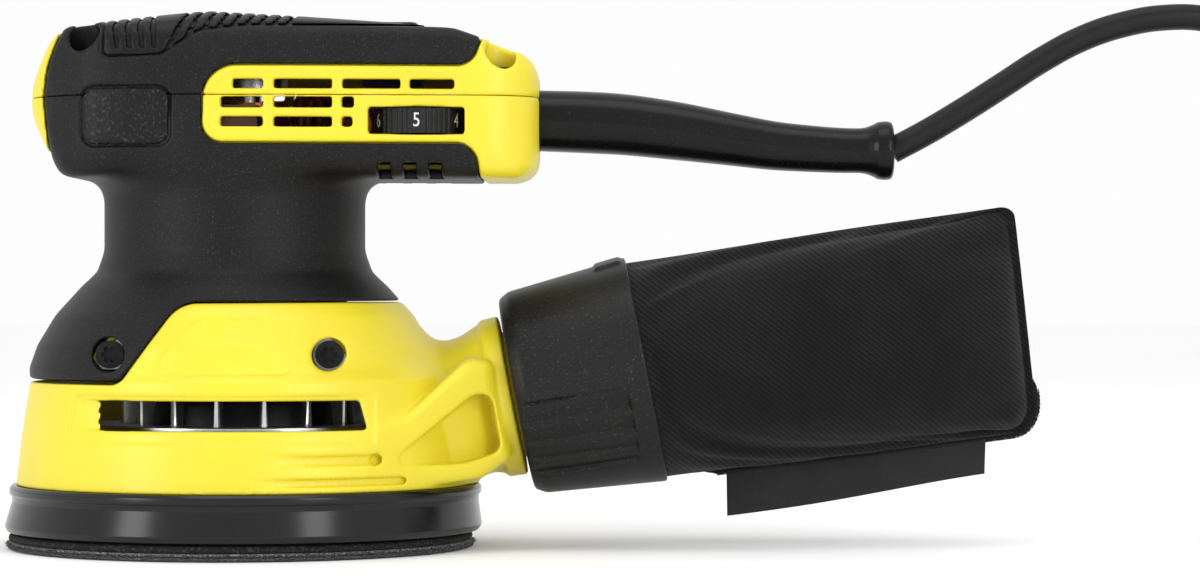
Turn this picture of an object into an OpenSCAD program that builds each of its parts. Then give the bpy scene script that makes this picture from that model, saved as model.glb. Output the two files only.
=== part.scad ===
/* [Pad] */
// Diameter of the pad and its disc
pad_d = 125; // [110:1:150]
// Thickness of the abrasive disc
disc_t = 1; // [0.6:0.1:1.4]
// Thickness of the hook layer
hook_t = 1; // [0.6:0.1:1.4]
// Offset of the pad's axis from the motor's axis
orbit = 1.3; // [0.8:0.1:2]
// Number of dust holes
dust_holes = 8; // [4:1:10]

/* [Base] */
// Diameter of the base housing at its lower edge
base_d = 122.6; // [105:0.1:138]
// Height of the base housing's shoulder above the disc
shoulder_z = 45; // [40:0.5:54]
// Wall of the base housing
base_wall = 2.4; // [1.8:0.1:3]

/* [Neck and head] */
// Diameter of the neck
neck_d = 69.8; // [66:0.1:76]
// Length of the head along the bag side
head_l = 136.3; // [120:0.1:164]
// Width of the head
head_w = 74; // [70:0.5:89]
// Height of the head's underside above the disc
head_z = 97; // [94:0.5:103]
// Wall of the inner shells
wall = 2.4; // [1.8:0.1:2.8]
// Thickness of the soft skin
skin = 1.6; // [1:0.1:2]

/* [Motor] */
// Outer diameter of the stator
stator_d = 54; // [48:0.5:55]
// Diameter of the armature
armature_d = 31; // [28:0.5:32]
// Number of cooling fan blades
fan_blades = 17; // [9:1:21]

/* [Dust port and bag] */
// Outer diameter of the port's spigot
port_d = 34; // [28:0.5:36]
// Bore of the port
port_bore_d = 29; // [24:0.5:29.5]
// Tilt of the port above level
port_tilt = 11; // [6:0.5:14]
// Diameter of the collar at the port end
collar_small_d = 55; // [52:0.5:60]
// Diameter of the collar at the bag end
collar_large_d = 61.2; // [58:0.5:68]
// Length of the bag beyond the collar
bag_l = 101.5; // [84:0.5:122]

/* [Controls and cord] */
// Diameter of the speed dial
dial_d = 23.5; // [20:0.1:25]
// Height of the speed dial
dial_h = 6.5; // [5:0.1:7.5]
// Diameter of the cord
cord_d = 7; // [6:0.1:8]

/* [Hidden] */
$fn = 64;
arc_step = 18;
gap = 0.3;
far = 120;

yellow = [0.93, 0.85, 0.15];
black = [0.13, 0.13, 0.13];
steel = [0.62, 0.63, 0.65];
copper = [0.72, 0.38, 0.2];
brass = [0.8, 0.65, 0.3];

// The port keeps a wall of at least 2 mm
bore_d = min(port_bore_d, port_d - 4);

// Heights that several pieces share
base_z = 16.8;
split_z = head_z + 22.5;
head_top = head_z + 46;
foot_z = shoulder_z + 1.2;
neck_x = -3.1;
neck_r = neck_d / 2;
base_r = base_d / 2;
head_left = -57.2;
head_right = head_left + head_l;
shell_in = skin + wall;

// Angle of the outward normal of the line that wraps circles a and b
function wrap_normal(a, b) =
    let (reach = norm([b[0] - a[0], b[1] - a[1]]))
    atan2(b[1] - a[1], b[0] - a[0]) - acos((a[2] - b[2]) / reach);
// The same angle between 0 and 360
function turn(angle) = angle - 360 * floor(angle / 360);
function arc_points(c, r, a0, sweep) =
    let (steps = max(1, ceil(sweep / arc_step)))
    [for (i = [0:steps]) [c[0] + r * cos(a0 + sweep * i / steps), c[1] + r * sin(a0 + sweep * i / steps)]];
// Convex outline that wraps circles [x, y, r] listed counter-clockwise, drawn inset by t
function wrapped(circles, t = 0) =
    let (count = len(circles))
    [for (i = [0:count - 1])
        let (a0 = wrap_normal(circles[(i + count - 1) % count], circles[i]),
             a1 = wrap_normal(circles[i], circles[(i + 1) % count]))
        each arc_points(circles[i], circles[i][2] - t, a0, turn(a1 - a0))];

head_side = [
    [head_left + 14.2, head_z + 6.2, 5.6],
    [head_right - 7.6, head_z + 7.6, 7.6],
    [head_right - 8.1, head_top - 19.5, 8.1],
    [head_right - 27, head_top - 22, 17],
    [-8, head_top - 20, 20],
    [head_left + 17.2, head_top - 18, 13.5],
    [head_left + 12.2, head_top - 24, 12.2]];
plan_r = head_w / 2 - 2;
end_r = 19;
end_y = head_w / 2 - end_r - 6;
// The plan and the section reach a little past the side outline, which sets the head's length and height
past = 1.7;
head_plan = [
    [head_left - past + 35.5, 0, 35.5],
    [5, -2, plan_r],
    [head_right + past - end_r, -end_y, end_r],
    [head_right + past - end_r, end_y, end_r],
    [5, 2, plan_r]];
head_section = [
    [-head_w / 2 + 15, head_z - past + 15, 15],
    [head_w / 2 - 15, head_z - past + 15, 15],
    [head_w / 2 - 20, head_top + past - 20, 20],
    [-head_w / 2 + 20, head_top + past - 20, 20]];
side_normal = wrap_normal(head_plan[1], head_plan[2]);
// Half width of the head at x, along the straight stretch from its middle to its port end
function head_half_width(x) =
    (plan_r + cos(side_normal) * (head_plan[1][0] - x) - sin(side_normal) * 2) / -sin(side_normal);

top_normal = wrap_normal(head_side[3], head_side[4]);
// Height of the head's top at x, along its long straight slope
function head_top_at(x) =
    (head_side[4][2] + cos(top_normal) * (head_side[4][0] - x)) / sin(top_normal) + head_side[4][1];

// Extrudes an XZ outline through the whole width
module across(points, width = 2 * far) {
    translate([0, width / 2, 0]) rotate([90, 0, 0]) linear_extrude(width) polygon(points);
}

// The head's outside, inset by t
module head_form(t) {
    intersection() {
        across(wrapped(head_side, t));
        translate([0, 0, head_z - 10]) linear_extrude(head_top - head_z + 20) polygon(wrapped(head_plan, t));
        translate([-far, 0, 0]) rotate([90, 0, 90]) linear_extrude(2 * far) polygon(wrapped(head_section, t));
    }
}

// The neck and its flare down to the shoulder, inset by t
module neck_form(t) {
    flare = base_r - 61.3;
    translate([neck_x, 0, 0]) rotate_extrude($fn = 96) polygon([
        [0, shoulder_z], [54.6 + flare - t, shoulder_z], [54.6 + flare - t, shoulder_z + 3],
        [52.5 + flare - t, shoulder_z + 9], [47.5 + flare - t, shoulder_z + 17],
        [41 - t, shoulder_z + 24.5], [neck_r + 1.7 - t, shoulder_z + 29], [neck_r - t, shoulder_z + 34],
        [neck_r - t, head_z + 12], [0, head_z + 12]]);
}

// The base under the shoulder, inset by t
module base_form(t) {
    rotate_extrude($fn = 96) polygon([
        [0, base_z], [base_r - t, base_z], [base_r - 1.5 - t, base_z + 13],
        [base_r - 3.9 - t, shoulder_z], [base_r - 6 - t, shoulder_z + 5], [0, shoulder_z + 5]]);
}

// Outline of everything that is yellow base, below the black foot
module below_boundary(lift = 0) {
    across([[-far, -10], [far, -10], [far, shoulder_z + 21 + lift], [40, shoulder_z + 20.6 + lift],
        [-10 - lift, shoulder_z + 20.2 + lift], [-16 - lift, shoulder_z + 17.5 + lift],
        [-26 - lift, shoulder_z + 1.6 + lift], [-30 - lift, shoulder_z + lift], [-far, shoulder_z + lift]]);
}

// Places children with z along the port's axis and x pointing down
port_x = 10.3 + base_r;
port_z = 40.4;
module at_port() {
    translate([port_x, 0, port_z]) rotate([0, 90 - port_tilt, 0]) children();
}

module left_cap_zone() {
    across([[-far, head_top + 9], [-43, head_top + 3], [-46.8, head_top - 7.6], [-50.4, head_top - 16],
        [-51.5, head_top - 24], [-51, head_z + 13], [-49.5, head_z + 4.5], [-47.5, head_z - 3], [-far, head_z - 3]]);
}
module port_end_zone() {
    across([[head_right - 16.7, head_top + 9], [head_right - 16.7, head_top - 8.8],
        [head_right - 22, head_z + 30.5], [head_right - 22, head_z + 10], [head_right - 17, head_z + 3],
        [head_right - 15.7, head_z - 3], [far, head_z - 3], [far, head_top + 9]]);
}
module yellow_zone() {
    left_cap_zone();
    port_end_zone();
    across(wrapped([[-2.9, head_z + 15.5, 5.5], [head_right - 20, head_z + 12, 2],
        [head_right - 20, head_z + 28.3, 2], [0.6, head_z + 21.3, 9]]));
}

// Screw places
screw_z = shoulder_z + 7;
screw_xs = [neck_x - 28.3, neck_x + 28.3];
screw_head_r = 3.6;
screw_head_h = 2.6;
screw_r = 1.9;
screw_seat_y = base_r - 21.6;
boss_r = 6;
boss_h = 2.6;
cover_screw_spots = [[head_left + 17.6, 22], [head_right - 10.3, 21]];
cover_seats = [head_top - 14.5, head_top - 18.5];

module both_sides() {
    children();
    mirror([0, 1, 0]) children();
}
module base_screw_spots(list = screw_xs) {
    both_sides() for (x = list) translate([x, 0, screw_z]) rotate([90, 0, 0]) children();
}

// Dial place
dial_x = head_right - 31.9;
dial_r = dial_d / 2;
dial_y = -(head_half_width(dial_x) - dial_r - 0.3);
dial_z = head_z + 12.6;

// Vent slots [x0, x1, z0, z1] of the vent panel, heights above the head's underside
slots = [[-0.5, 7.5, 24.1, 26.6], [10.2, 25.3, 24.1, 26.6], [27.9, 43, 24.1, 26.6], [45.4, 57, 24.1, 26.6],
    [-3.6, 7.5, 19.1, 21.9], [10.2, 25.3, 19.1, 21.9], [27.8, 31, 19.1, 21.9],
    [-3.6, 7.5, 14.1, 16.8], [10.2, 25.3, 14.1, 16.8], [27.8, 30.6, 14.1, 16.8]];
module vent_cuts() {
    for (s = slots) translate([s[0], -far, head_z + s[2]]) cube([s[1] - s[0], 2 * far, s[3] - s[2]]);
}
module under_vents() {
    for (x = [37, 43.7, 50.4]) both_sides() translate([x, -head_w / 2 - 1, head_z - 2]) cube([3.3, 16, 5.8]);
}
module dial_window() {
    translate([dial_x - 12.6, -far, dial_z - gap]) cube([25.1, far, dial_h + 2 * gap]);
}
module dial_pocket() {
    translate([dial_x, dial_y, dial_z - gap]) cylinder(r = dial_r + 1, h = dial_h + 2 * gap);
}
relief_r = 8.25;
relief_z = head_z + 17.1;
module relief_hole() {
    translate([head_right - 9, 0, relief_z]) rotate([0, 90, 0]) cylinder(r = relief_r, h = 20);
}
side_pad_outline = [[head_left + 20.5, head_z + 12.6, 3.5], [head_left + 37.1, head_z + 12.6, 3.5],
    [head_left + 37.1, head_z + 21.2, 3.5], [head_left + 20.5, head_z + 21.2, 3.5]];
thumb_outline = [[-34.4, head_top - 13.5], [-19.4, head_top - 13], [-9.5, head_top - 6.6], [3, head_top - 5.1],
    [54, head_top - 5.1], [54, head_top + 5], [-34.4, head_top + 5]];
switch_x = head_right - 39.6;
switch_top = head_top_at(switch_x) + 1.5;
module switch_opening(extra = 0) {
    translate([switch_x - 8 - extra, -8 - extra, switch_top - 16]) cube([16 + 2 * extra, 16 + 2 * extra, 30]);
}

// ---- Housing pieces

module port_gusset() {
    hull() {
        translate([36, -38, base_z + 1]) cube([8, 76, 13]);
        at_port() translate([0, 0, -5]) cylinder(d = 40, h = 1, $fn = 32);
    }
    hull() {
        translate([40, -20, base_z + 3]) cube([8, 40, 31]);
        at_port() translate([0, 0, -5]) cylinder(d = 41, h = 1, $fn = 32);
    }
}
flange_t = 4;
spigot_l = 20;
lug_s = 12;
module base_housing() {
    color(yellow) difference() {
        union() {
            intersection() {
                difference() {
                    union() {
                        base_form(0);
                        neck_form(0);
                    }
                    base_form(base_wall);
                    neck_form(base_wall);
                    translate([0, 0, base_z - 1]) cylinder(r = base_r - base_wall, h = 8);
                }
                below_boundary();
            }
            intersection() {
                port_gusset();
                difference() {
                    translate([0, -far, 0]) cube([far, 2 * far, far]);
                    base_form(base_wall);
                    neck_form(base_wall);
                }
            }
            at_port() translate([0, 0, -flange_t - 1]) cylinder(d = port_d + 8.5, h = flange_t + 1);
            at_port() cylinder(d = port_d, h = spigot_l);
            at_port() for (side = [-1, 1]) translate([-2.5, side * (port_d / 2 + 0.5) - 1, lug_s]) cube([5, 2, 4]);
            // Ring that parts the cooling air from the dust
            translate([0, 0, base_z + 13.7]) difference() {
                cylinder(r = base_r - base_wall - 1, h = 2);
                translate([0, 0, -1]) cylinder(r = fan_r + 1.2, h = 4);
            }
            intersection() {
                base_screw_spots([screw_xs[1]]) translate([0, 0, screw_seat_y - boss_h]) cylinder(r = boss_r, h = 30);
                neck_form(0.5);
            }
        }
        duct_cut();
        // Fan slots, front and back
        across([[-32.3, base_z + 15.9], [35.3, base_z + 15.9], [33.2, base_z + 23.5], [-30.7, base_z + 23.5]]);
        // Pockets that lighten the gusset
        both_sides() translate([0, -18, 0]) rotate([90, 0, 0]) linear_extrude(30)
            polygon([[44, base_z + 6], [66, base_z + 9.2], [63.5, base_z + 22], [60, base_z + 23]]);
        base_screw_spots([screw_xs[1]]) translate([0, 0, screw_seat_y]) cylinder(r = screw_head_r + 0.6, h = 40);
        base_screw_spots([screw_xs[1]]) translate([0, 0, screw_seat_y - 5]) cylinder(r = screw_r + 0.3, h = 20);
    }
}
module duct_cut() {
    hull() {
        translate([base_r - base_wall - 9, -13, base_z + 3]) cube([4, 26, 9]);
        at_port() translate([0, 0, -8]) cylinder(d = bore_d - 1, h = 1, $fn = 32);
    }
    at_port() translate([0, 0, -7.5]) cylinder(d = bore_d, h = spigot_l + 10);
}

// Posts that take the cover screws, from the head's floor up to the split
module cover_posts() {
    both_sides() for (i = [0, 1]) translate([cover_screw_spots[i][0], cover_screw_spots[i][1], head_z])
        cylinder(r = 4.2, h = split_z - head_z);
}
module cover_screw_holes() {
    both_sides() for (i = [0, 1]) translate([cover_screw_spots[i][0], cover_screw_spots[i][1], 0]) {
        translate([0, 0, head_z + 8]) cylinder(r = screw_r + 0.3, h = 60);
        translate([0, 0, cover_seats[i]]) cylinder(r = screw_head_r + 0.6, h = 40);
    }
}

module lower_form(t) {
    head_form(t);
    neck_form(t);
}
module motor_housing() {
    color(yellow) difference() {
        union() {
            difference() {
                union() {
                    lower_form(skin);
                    intersection() {
                        head_form(0);
                        yellow_zone();
                    }
                }
                lower_form(shell_in);
            }
            intersection() {
                union() {
                    cover_posts();
                    both_sides() translate([head_right - 16, 10, head_z + 1]) cylinder(r = 4, h = clamp_z - head_z - 1);
                }
                head_form(skin);
            }
            intersection() {
                base_screw_spots([screw_xs[0]]) translate([0, 0, screw_seat_y - boss_h]) cylinder(r = boss_r, h = 30);
                neck_form(skin);
            }
        }
        translate([-far, -far, split_z]) cube(2 * far);
        translate([-far, -far, foot_z - far]) cube([2 * far, 2 * far, far]);
        // Room for the base housing, which laps over the foot
        intersection() {
            below_boundary(0.2);
            difference() {
                translate([0, 0, 20]) cylinder(r = far, h = 50);
                neck_form(base_wall + 0.2);
            }
        }
        base_screw_spots([screw_xs[1]]) translate([0, 0, screw_seat_y - 4]) cylinder(r = boss_r + gap, h = 30);
        base_screw_spots([screw_xs[0]]) translate([0, 0, screw_seat_y]) cylinder(r = screw_head_r + 0.6, h = 40);
        base_screw_spots([screw_xs[0]]) translate([0, 0, screw_seat_y - 5]) cylinder(r = screw_r + 0.3, h = 20);
        vent_cuts();
        under_vents();
        dial_window();
        dial_pocket();
        relief_hole();
        cover_screw_holes();
        both_sides() translate([head_right - 16, 10, clamp_z - 9]) cylinder(r = 1.3, h = 10);
    }
}
module lower_overmould() {
    color(black) difference() {
        lower_form(0);
        lower_form(skin);
        yellow_zone();
        below_boundary();
        translate([-far, -far, split_z]) cube(2 * far);
        under_vents();
        side_pad_cut();
        base_screw_spots([screw_xs[0]]) translate([0, 0, screw_seat_y]) cylinder(r = screw_head_r + 0.6, h = 40);
    }
}
module side_pad_cut() {
    difference() {
        across(wrapped(side_pad_outline, -0.2));
        translate([-far, -20, 0]) cube([2 * far, 40, 2 * far]);
    }
}
module upper_half() {
    translate([-far, -far, split_z]) cube(2 * far);
}
module top_cover() {
    color(yellow) difference() {
        union() {
            intersection() {
                difference() {
                    union() {
                        head_form(skin);
                        intersection() {
                            head_form(0);
                            yellow_zone();
                        }
                    }
                    head_form(shell_in);
                }
                upper_half();
            }
            intersection() {
                head_form(skin);
                upper_half();
                union() {
                    translate([0, 0, split_z + 0.5]) cylinder(r = bearing_r + 3, h = 40);
                    both_sides() for (i = [0, 1])
                        translate([cover_screw_spots[i][0], cover_screw_spots[i][1], split_z])
                            cylinder(r = screw_head_r + 2.2, h = 40);
                }
            }
        }
        translate([0, 0, split_z - 1]) cylinder(r = bearing_r, h = upper_bearing_z + bearing_h - split_z + 1);
        vent_cuts();
        relief_hole();
        cover_screw_holes();
        switch_opening();
        badge_box(0.2);
    }
}
module top_overmould() {
    color(black) difference() {
        intersection() {
            head_form(0);
            upper_half();
        }
        head_form(skin);
        yellow_zone();
        thumb_zone();
        side_pad_cut();
        switch_opening();
        cover_screw_holes();
        badge_box(0.2);
    }
}
module thumb_zone() {
    across(thumb_outline);
}
module thumb_pad() {
    color([0.1, 0.1, 0.1]) difference() {
        intersection() {
            head_form(0);
            thumb_zone();
        }
        head_form(skin);
        switch_opening();
        cover_screw_holes();
        badge_box(0.2);
        difference() {
            for (i = [0:11]) translate([-26 + 3.5 * i, -far, head_top - 16]) cube([0.9, 2 * far, 30]);
            head_form(0.7);
        }
    }
}
module badge_box(extra) {
    translate([15.4 - extra, -8 - extra, head_top_at(20.4) - 1.3 - extra]) cube([10 + 2 * extra, 16 + 2 * extra, 9]);
}
module badge_plate() {
    color([0.2, 0.2, 0.2]) intersection() {
        badge_box(0);
        head_form(0.6);
    }
}
module side_pads() {
    color([0.09, 0.09, 0.09]) intersection() {
        difference() {
            head_form(-0.2);
            head_form(skin);
        }
        difference() {
            across(wrapped(side_pad_outline));
            translate([-far, -20, 0]) cube([2 * far, 40, 2 * far]);
        }
    }
}

// A screw along +z, head on top, with its seat at z = 0
module screw(length) {
    difference() {
        union() {
            cylinder(r = screw_head_r, h = screw_head_h);
            translate([0, 0, -length]) cylinder(r = screw_r, h = length + 0.1);
        }
        // Six-lobed recess
        for (i = [0:2]) rotate(60 * i) translate([-2.1, -0.55, screw_head_h - 1.4]) cube([4.2, 1.1, 2]);
        translate([0, 0, screw_head_h - 1.4]) cylinder(r = 1.5, h = 2);
    }
}
module housing_screws() {
    color(black) base_screw_spots() translate([0, 0, screw_seat_y]) screw(12);
}
module cover_screws() {
    color(black) both_sides() for (i = [0, 1])
        translate([cover_screw_spots[i][0], cover_screw_spots[i][1], cover_seats[i]]) screw(18);
}
module dust_skirt() {
    inner = pad_d / 2 - 2.4;
    color([0.05, 0.05, 0.05]) rotate_extrude($fn = 96) polygon([
        [inner, 4.3], [base_r + 0.9, 4.3], [base_r + 1.9, 5.8], [base_r + 1.3, 12], [base_r + 1.3, 13.6],
        [base_r + 1.8, 14.4], [base_r + 1.8, 15.8], [base_r + 1.2, base_z], [base_r - base_wall - 1, base_z],
        [base_r - base_wall - 1, base_z + 5], [base_r - base_wall - 3, base_z + 5],
        [base_r - base_wall - 3, base_z - 2], [inner, base_z - 3.2]]);
}

// ---- Motor and its supports

bearing_r = 11;
bearing_h = 7;
shaft_r = 4;
lower_bearing_z = foot_z + 2;
upper_bearing_z = head_z + 25;
core_z0 = shoulder_z + 17;
core_z1 = head_z - 6;
commutator_z = head_z + 7.5;
brush_z = head_z + 15;
fan_r = 43;
fan_z = base_z + 14.8;
plate_r = base_r - 15;

module bearing_plate() {
    color(steel) difference() {
        union() {
            translate([0, 0, foot_z]) cylinder(r = plate_r, h = 2.8);
            translate([0, 0, foot_z]) cylinder(r = bearing_r + 4, h = bearing_h + 2);
            base_screw_spots() translate([0, 0, screw_seat_y - 14.9]) cylinder(r = 4.6, h = 12);
        }
        translate([0, 0, lower_bearing_z]) cylinder(r = bearing_r, h = 20);
        translate([0, 0, foot_z - 1]) cylinder(r = bearing_r - 2, h = 20);
        for (i = [0:5]) rotate(60 * i + 30) translate([26, 0, foot_z - 1]) cylinder(r = 6.5, h = 5);
        base_screw_spots() translate([0, 0, screw_seat_y - 15.5]) cylinder(r = screw_r, h = 14);
        // Room for the housings' screw bosses
        base_screw_spots() translate([0, 0, screw_seat_y - boss_h - gap]) cylinder(r = boss_r + gap, h = 30);
    }
}
module ball_bearing(z, outer, inner, height) {
    translate([0, 0, z]) difference() {
        cylinder(r = outer, h = height);
        translate([0, 0, -1]) cylinder(r = inner, h = height + 2);
        for (end = [-0.01, height - 0.6]) translate([0, 0, end]) difference() {
            cylinder(r = outer - 1.8, h = 0.61);
            translate([0, 0, -1]) cylinder(r = inner + 1.8, h = 3);
        }
    }
}
module lower_bearing() {
    color(steel) ball_bearing(lower_bearing_z, bearing_r, shaft_r + 0.03, bearing_h);
}
module upper_bearing() {
    color(steel) ball_bearing(upper_bearing_z, bearing_r, shaft_r + 0.03, bearing_h);
}
stator_bore = armature_d / 2 + 0.6;
coil_r = stator_d / 2 - 4.2;
module stator_core() {
    color([0.45, 0.45, 0.47]) translate([0, 0, core_z0]) difference() {
        cylinder(d = stator_d, h = core_z1 - core_z0);
        translate([0, 0, -1]) cylinder(r = stator_bore, h = 60);
        for (side = [0, 180]) rotate(side) translate([0, 0, -1]) linear_extrude(60) intersection() {
            difference() {
                circle(r = coil_r);
                circle(r = stator_bore - 1);
            }
            polygon([[0, 0], [60, -46], [60, 46]]);
        }
    }
}
// One coil wraps one pole: two bars in the windows and an arc over each end
module field_coil() {
    bar = [coil_r - 0.4, stator_bore + 0.4];
    for (side = [-1, 1]) intersection() {
        translate([0, 0, core_z0 - 6]) linear_extrude(core_z1 - core_z0 + 12) difference() {
            circle(r = bar[0]);
            circle(r = bar[1]);
        }
        rotate(90 + side * 66) translate([0, -3.2, core_z0 - 7]) cube([60, 6.4, 80]);
    }
    for (z = [core_z0 - 6, core_z1 + 0.4]) translate([0, 0, z]) linear_extrude(5.6) intersection() {
        difference() {
            circle(r = bar[0]);
            circle(r = bar[1]);
        }
        polygon([[0, 0], [60, 24], [60, 60], [-60, 60], [-60, 24]]);
    }
}
module field_coils() {
    color(copper) both_sides() field_coil();
}
module brush_holders() {
    color(brass) both_sides() difference() {
        translate([-5.5, 13, brush_z - 4.5]) cube([11, 17, 9.5]);
        translate([-3.1, 10, brush_z - 3.1]) cube([6.2, 18.5, 6.2]);
    }
}
commutator_r = 11.4;
module carbon_brushes() {
    color([0.15, 0.15, 0.16]) both_sides() translate([-3, commutator_r + 0.1, brush_z - 3]) cube([6, 11, 6]);
}
module brush_springs() {
    color(steel) both_sides() translate([0, commutator_r + 11.3, brush_z]) rotate([-90, 0, 0])
        for (i = [0:3]) translate([0, 0, 1.25 * i]) difference() {
            cylinder(r = 2.6, h = 1.25);
            translate([0, 0, -0.1]) cylinder(r = 1.9, h = 1.5);
        }
}
board_x = dial_x - 23.2;
board_z = head_z + 7.5;
board_t = 1.6;
module circuit_board() {
    color([0.1, 0.35, 0.2]) difference() {
        translate([board_x, -24, board_z]) cube([31, 40, board_t]);
        // Fixing hole
        translate([board_x + 27, 12, board_z - 1]) cylinder(r = 1.6, h = 4);
    }
}
module capacitor() {
    color([0.65, 0.2, 0.12]) translate([board_x + 1.5, 2, board_z + board_t]) cube([8, 13, 12]);
}
module choke() {
    color(copper) translate([board_x + 6, -15.5, board_z + board_t + 6.1]) rotate([90, 0, 0]) rotate_extrude()
        translate([4.2, 0]) circle(r = 1.8, $fn = 24);
}
module dial_potentiometer() {
    color([0.2, 0.2, 0.22]) {
        translate([dial_x - 6, dial_y - 4, board_z + board_t]) cube([12, 14, dial_z - board_z - board_t - 0.6]);
        translate([dial_x, dial_y, board_z + 2]) cylinder(r = 2.45, h = dial_z + dial_h - board_z - 2);
    }
}
module switch_body() {
    color([0.15, 0.15, 0.15]) difference() {
        translate([switch_x - 7.9, -7.9, switch_top - 18]) cube([15.8, 15.8, 11]);
        translate([switch_x - 7, -7, switch_top - 12.5]) cube([14, 14, 20]);
    }
}
clamp_z = relief_z + cord_d / 2 + 0.1;
module cord_clamp() {
    color([0.2, 0.2, 0.2]) difference() {
        translate([head_right - 19.5, -14, clamp_z]) cube([7, 28, 2.6]);
        both_sides() translate([head_right - 16, 10, clamp_z - 1]) cylinder(r = 1.6, h = 5);
    }
}
module clamp_screws() {
    color(steel) both_sides() translate([head_right - 16, 10, clamp_z + 2.6]) {
        cylinder(r = 2.8, h = 1.8);
        translate([0, 0, -9]) cylinder(r = 1.3, h = 9.1);
    }
}
relief_path = [[head_right, 0, relief_z], [head_right + 12, 0, relief_z - 0.4],
    [head_right + 23.3, 0, relief_z - 1.1], [head_right + 37, 0, relief_z - 2.8],
    [head_right + 50.7, 0, relief_z - 4.9], [head_right + 62, 0, relief_z - 6.6],
    [head_right + 71.3, 0, relief_z - 7.4], [head_right + 80, 0, relief_z - 7.9],
    [head_right + 86, 0, relief_z - 8], [head_right + 89, 0, relief_z - 8],
    [head_right + 92.4, 0, relief_z - 8], [head_right + 94.4, 0, relief_z - 8]];
relief_radii = [8.2, 8.3, 8.2, 7.8, 7.1, 6.6, 6.3, 6.1, 6, 7, 7.9, 6.6];

// Tube swept along points p with radii r; the rings stand square to the path
function along(p, i) = let (d = p[min(i + 1, len(p) - 1)] - p[max(i - 1, 0)]) d / norm(d);
function ring_points(c, d, r, sides) =
    let (side = abs(d[1]) > 0.9 ? [1, 0, 0] : [0, 1, 0], u0 = cross(side, d), u = u0 / norm(u0), v = cross(d, u))
    [for (k = [0:sides - 1]) c + r * (cos(360 * k / sides) * u + sin(360 * k / sides) * v)];
module swept(p, r, sides) {
    rings = [for (i = [0:len(p) - 1]) each ring_points(p[i], along(p, i), r[i], sides)];
    last = (len(p) - 1) * sides;
    polyhedron(rings, concat(
        [[for (k = [0:sides - 1]) k]],
        [for (i = [0:len(p) - 2], k = [0:sides - 1])
            [i * sides + k, (i + 1) * sides + k, (i + 1) * sides + (k + 1) % sides, i * sides + (k + 1) % sides]],
        [[for (k = [sides - 1:-1:0]) last + k]]), 10);
}
module strain_relief() {
    color([0.07, 0.07, 0.07]) {
        swept(relief_path, relief_radii, 20);
        translate([head_right - 8, 0, relief_z]) rotate([0, 90, 0]) cylinder(r = relief_r - 0.05, h = 8);
    }
}
module internal_leads() {
    stub_x = head_right - 22;
    color([0.35, 0.16, 0.1]) {
        translate([stub_x, 0, relief_z]) rotate([0, 90, 0]) cylinder(d = cord_d, h = 14);
        for (side = [-1, 1]) swept([[stub_x, 1.7 * side, relief_z], [stub_x - 6, 4 * side, relief_z + 2],
            [stub_x - 12, 6 * side, relief_z + 3.5], [switch_x + 4, 5 * side, switch_top - 21.5],
            [switch_x, 4 * side, switch_top - 19.5]], [1.3, 1.3, 1.3, 1.3, 1.3], 8);
    }
}

// ---- Rotor

rotor_bottom = 11.5;
module shaft() {
    foot = rotor_bottom + 12;
    color(steel) translate([0, 0, foot]) cylinder(r = shaft_r, h = upper_bearing_z + bearing_h - gap - foot);
}
module armature_core() {
    color([0.5, 0.5, 0.52]) translate([0, 0, core_z0]) difference() {
        cylinder(d = armature_d, h = core_z1 - core_z0);
        translate([0, 0, -1]) cylinder(r = shaft_r, h = 60);
        for (i = [0:11]) rotate(30 * i) translate([9, -1, -1]) cube([20, 2, 60]);
    }
}
module armature_windings() {
    color([0.6, 0.22, 0.12]) {
        for (z = [core_z0 - 6, core_z1 + 0.1]) translate([0, 0, z]) difference() {
            cylinder(d1 = armature_d - 5, d2 = armature_d - 3, h = 5.9);
            translate([0, 0, -1]) cylinder(r = shaft_r, h = 8);
        }
        for (i = [0:11]) rotate(30 * i) translate([9.2, -0.9, core_z0 - 0.2]) cube([5, 1.8, core_z1 - core_z0 + 0.4]);
    }
}
module commutator() {
    color(copper) translate([0, 0, commutator_z]) difference() {
        cylinder(r = commutator_r, h = 14);
        translate([0, 0, -1]) cylinder(r = shaft_r, h = 16);
        for (i = [0:23]) rotate(15 * i) translate([commutator_r - 0.8, -0.25, 3]) cube([2, 0.5, 12]);
    }
}
blade_r = 34;
module fan() {
    color([0.8, 0.81, 0.83]) translate([0, 0, fan_z]) difference() {
        union() {
            cylinder(r = fan_r, h = 1.5);
            translate([0, 0, -6]) cylinder(r = 12, h = 17);
            for (i = [0:fan_blades - 1]) rotate(-98.1 + 360 * i / fan_blades)
                translate([18, -0.7, 1]) cube([blade_r - 18, 1.4, 8.6]);
            for (i = [0:7]) rotate(45 * i) translate([14, -0.8, -7]) cube([25, 1.6, 7.5]);
        }
        translate([0, 0, -8]) cylinder(r = shaft_r, h = 30);
    }
}
pad_bearing_r = 14;
module counterweight() {
    color([0.5, 0.48, 0.45]) difference() {
        union() {
            translate([-orbit, 0, rotor_bottom]) cylinder(r = pad_bearing_r + 3, h = 12.3);
            intersection() {
                translate([0, 0, rotor_bottom + 5]) cylinder(r = 36, h = 7);
                translate([0, -50, 0]) cube([50, 100, 50]);
            }
        }
        translate([-orbit, 0, rotor_bottom - 1]) cylinder(r = pad_bearing_r, h = 9);
        translate([-orbit, 0, rotor_bottom - 1]) cylinder(r = 9, h = 10.5);
        translate([0, 0, rotor_bottom + 12]) cylinder(r = shaft_r, h = 5);
    }
}
hub_r = 6;
module pad_bearing() {
    color(steel) translate([-orbit, 0, 0]) ball_bearing(rotor_bottom, pad_bearing_r, hub_r + 0.03, 8);
}

// ---- Pad

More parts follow.
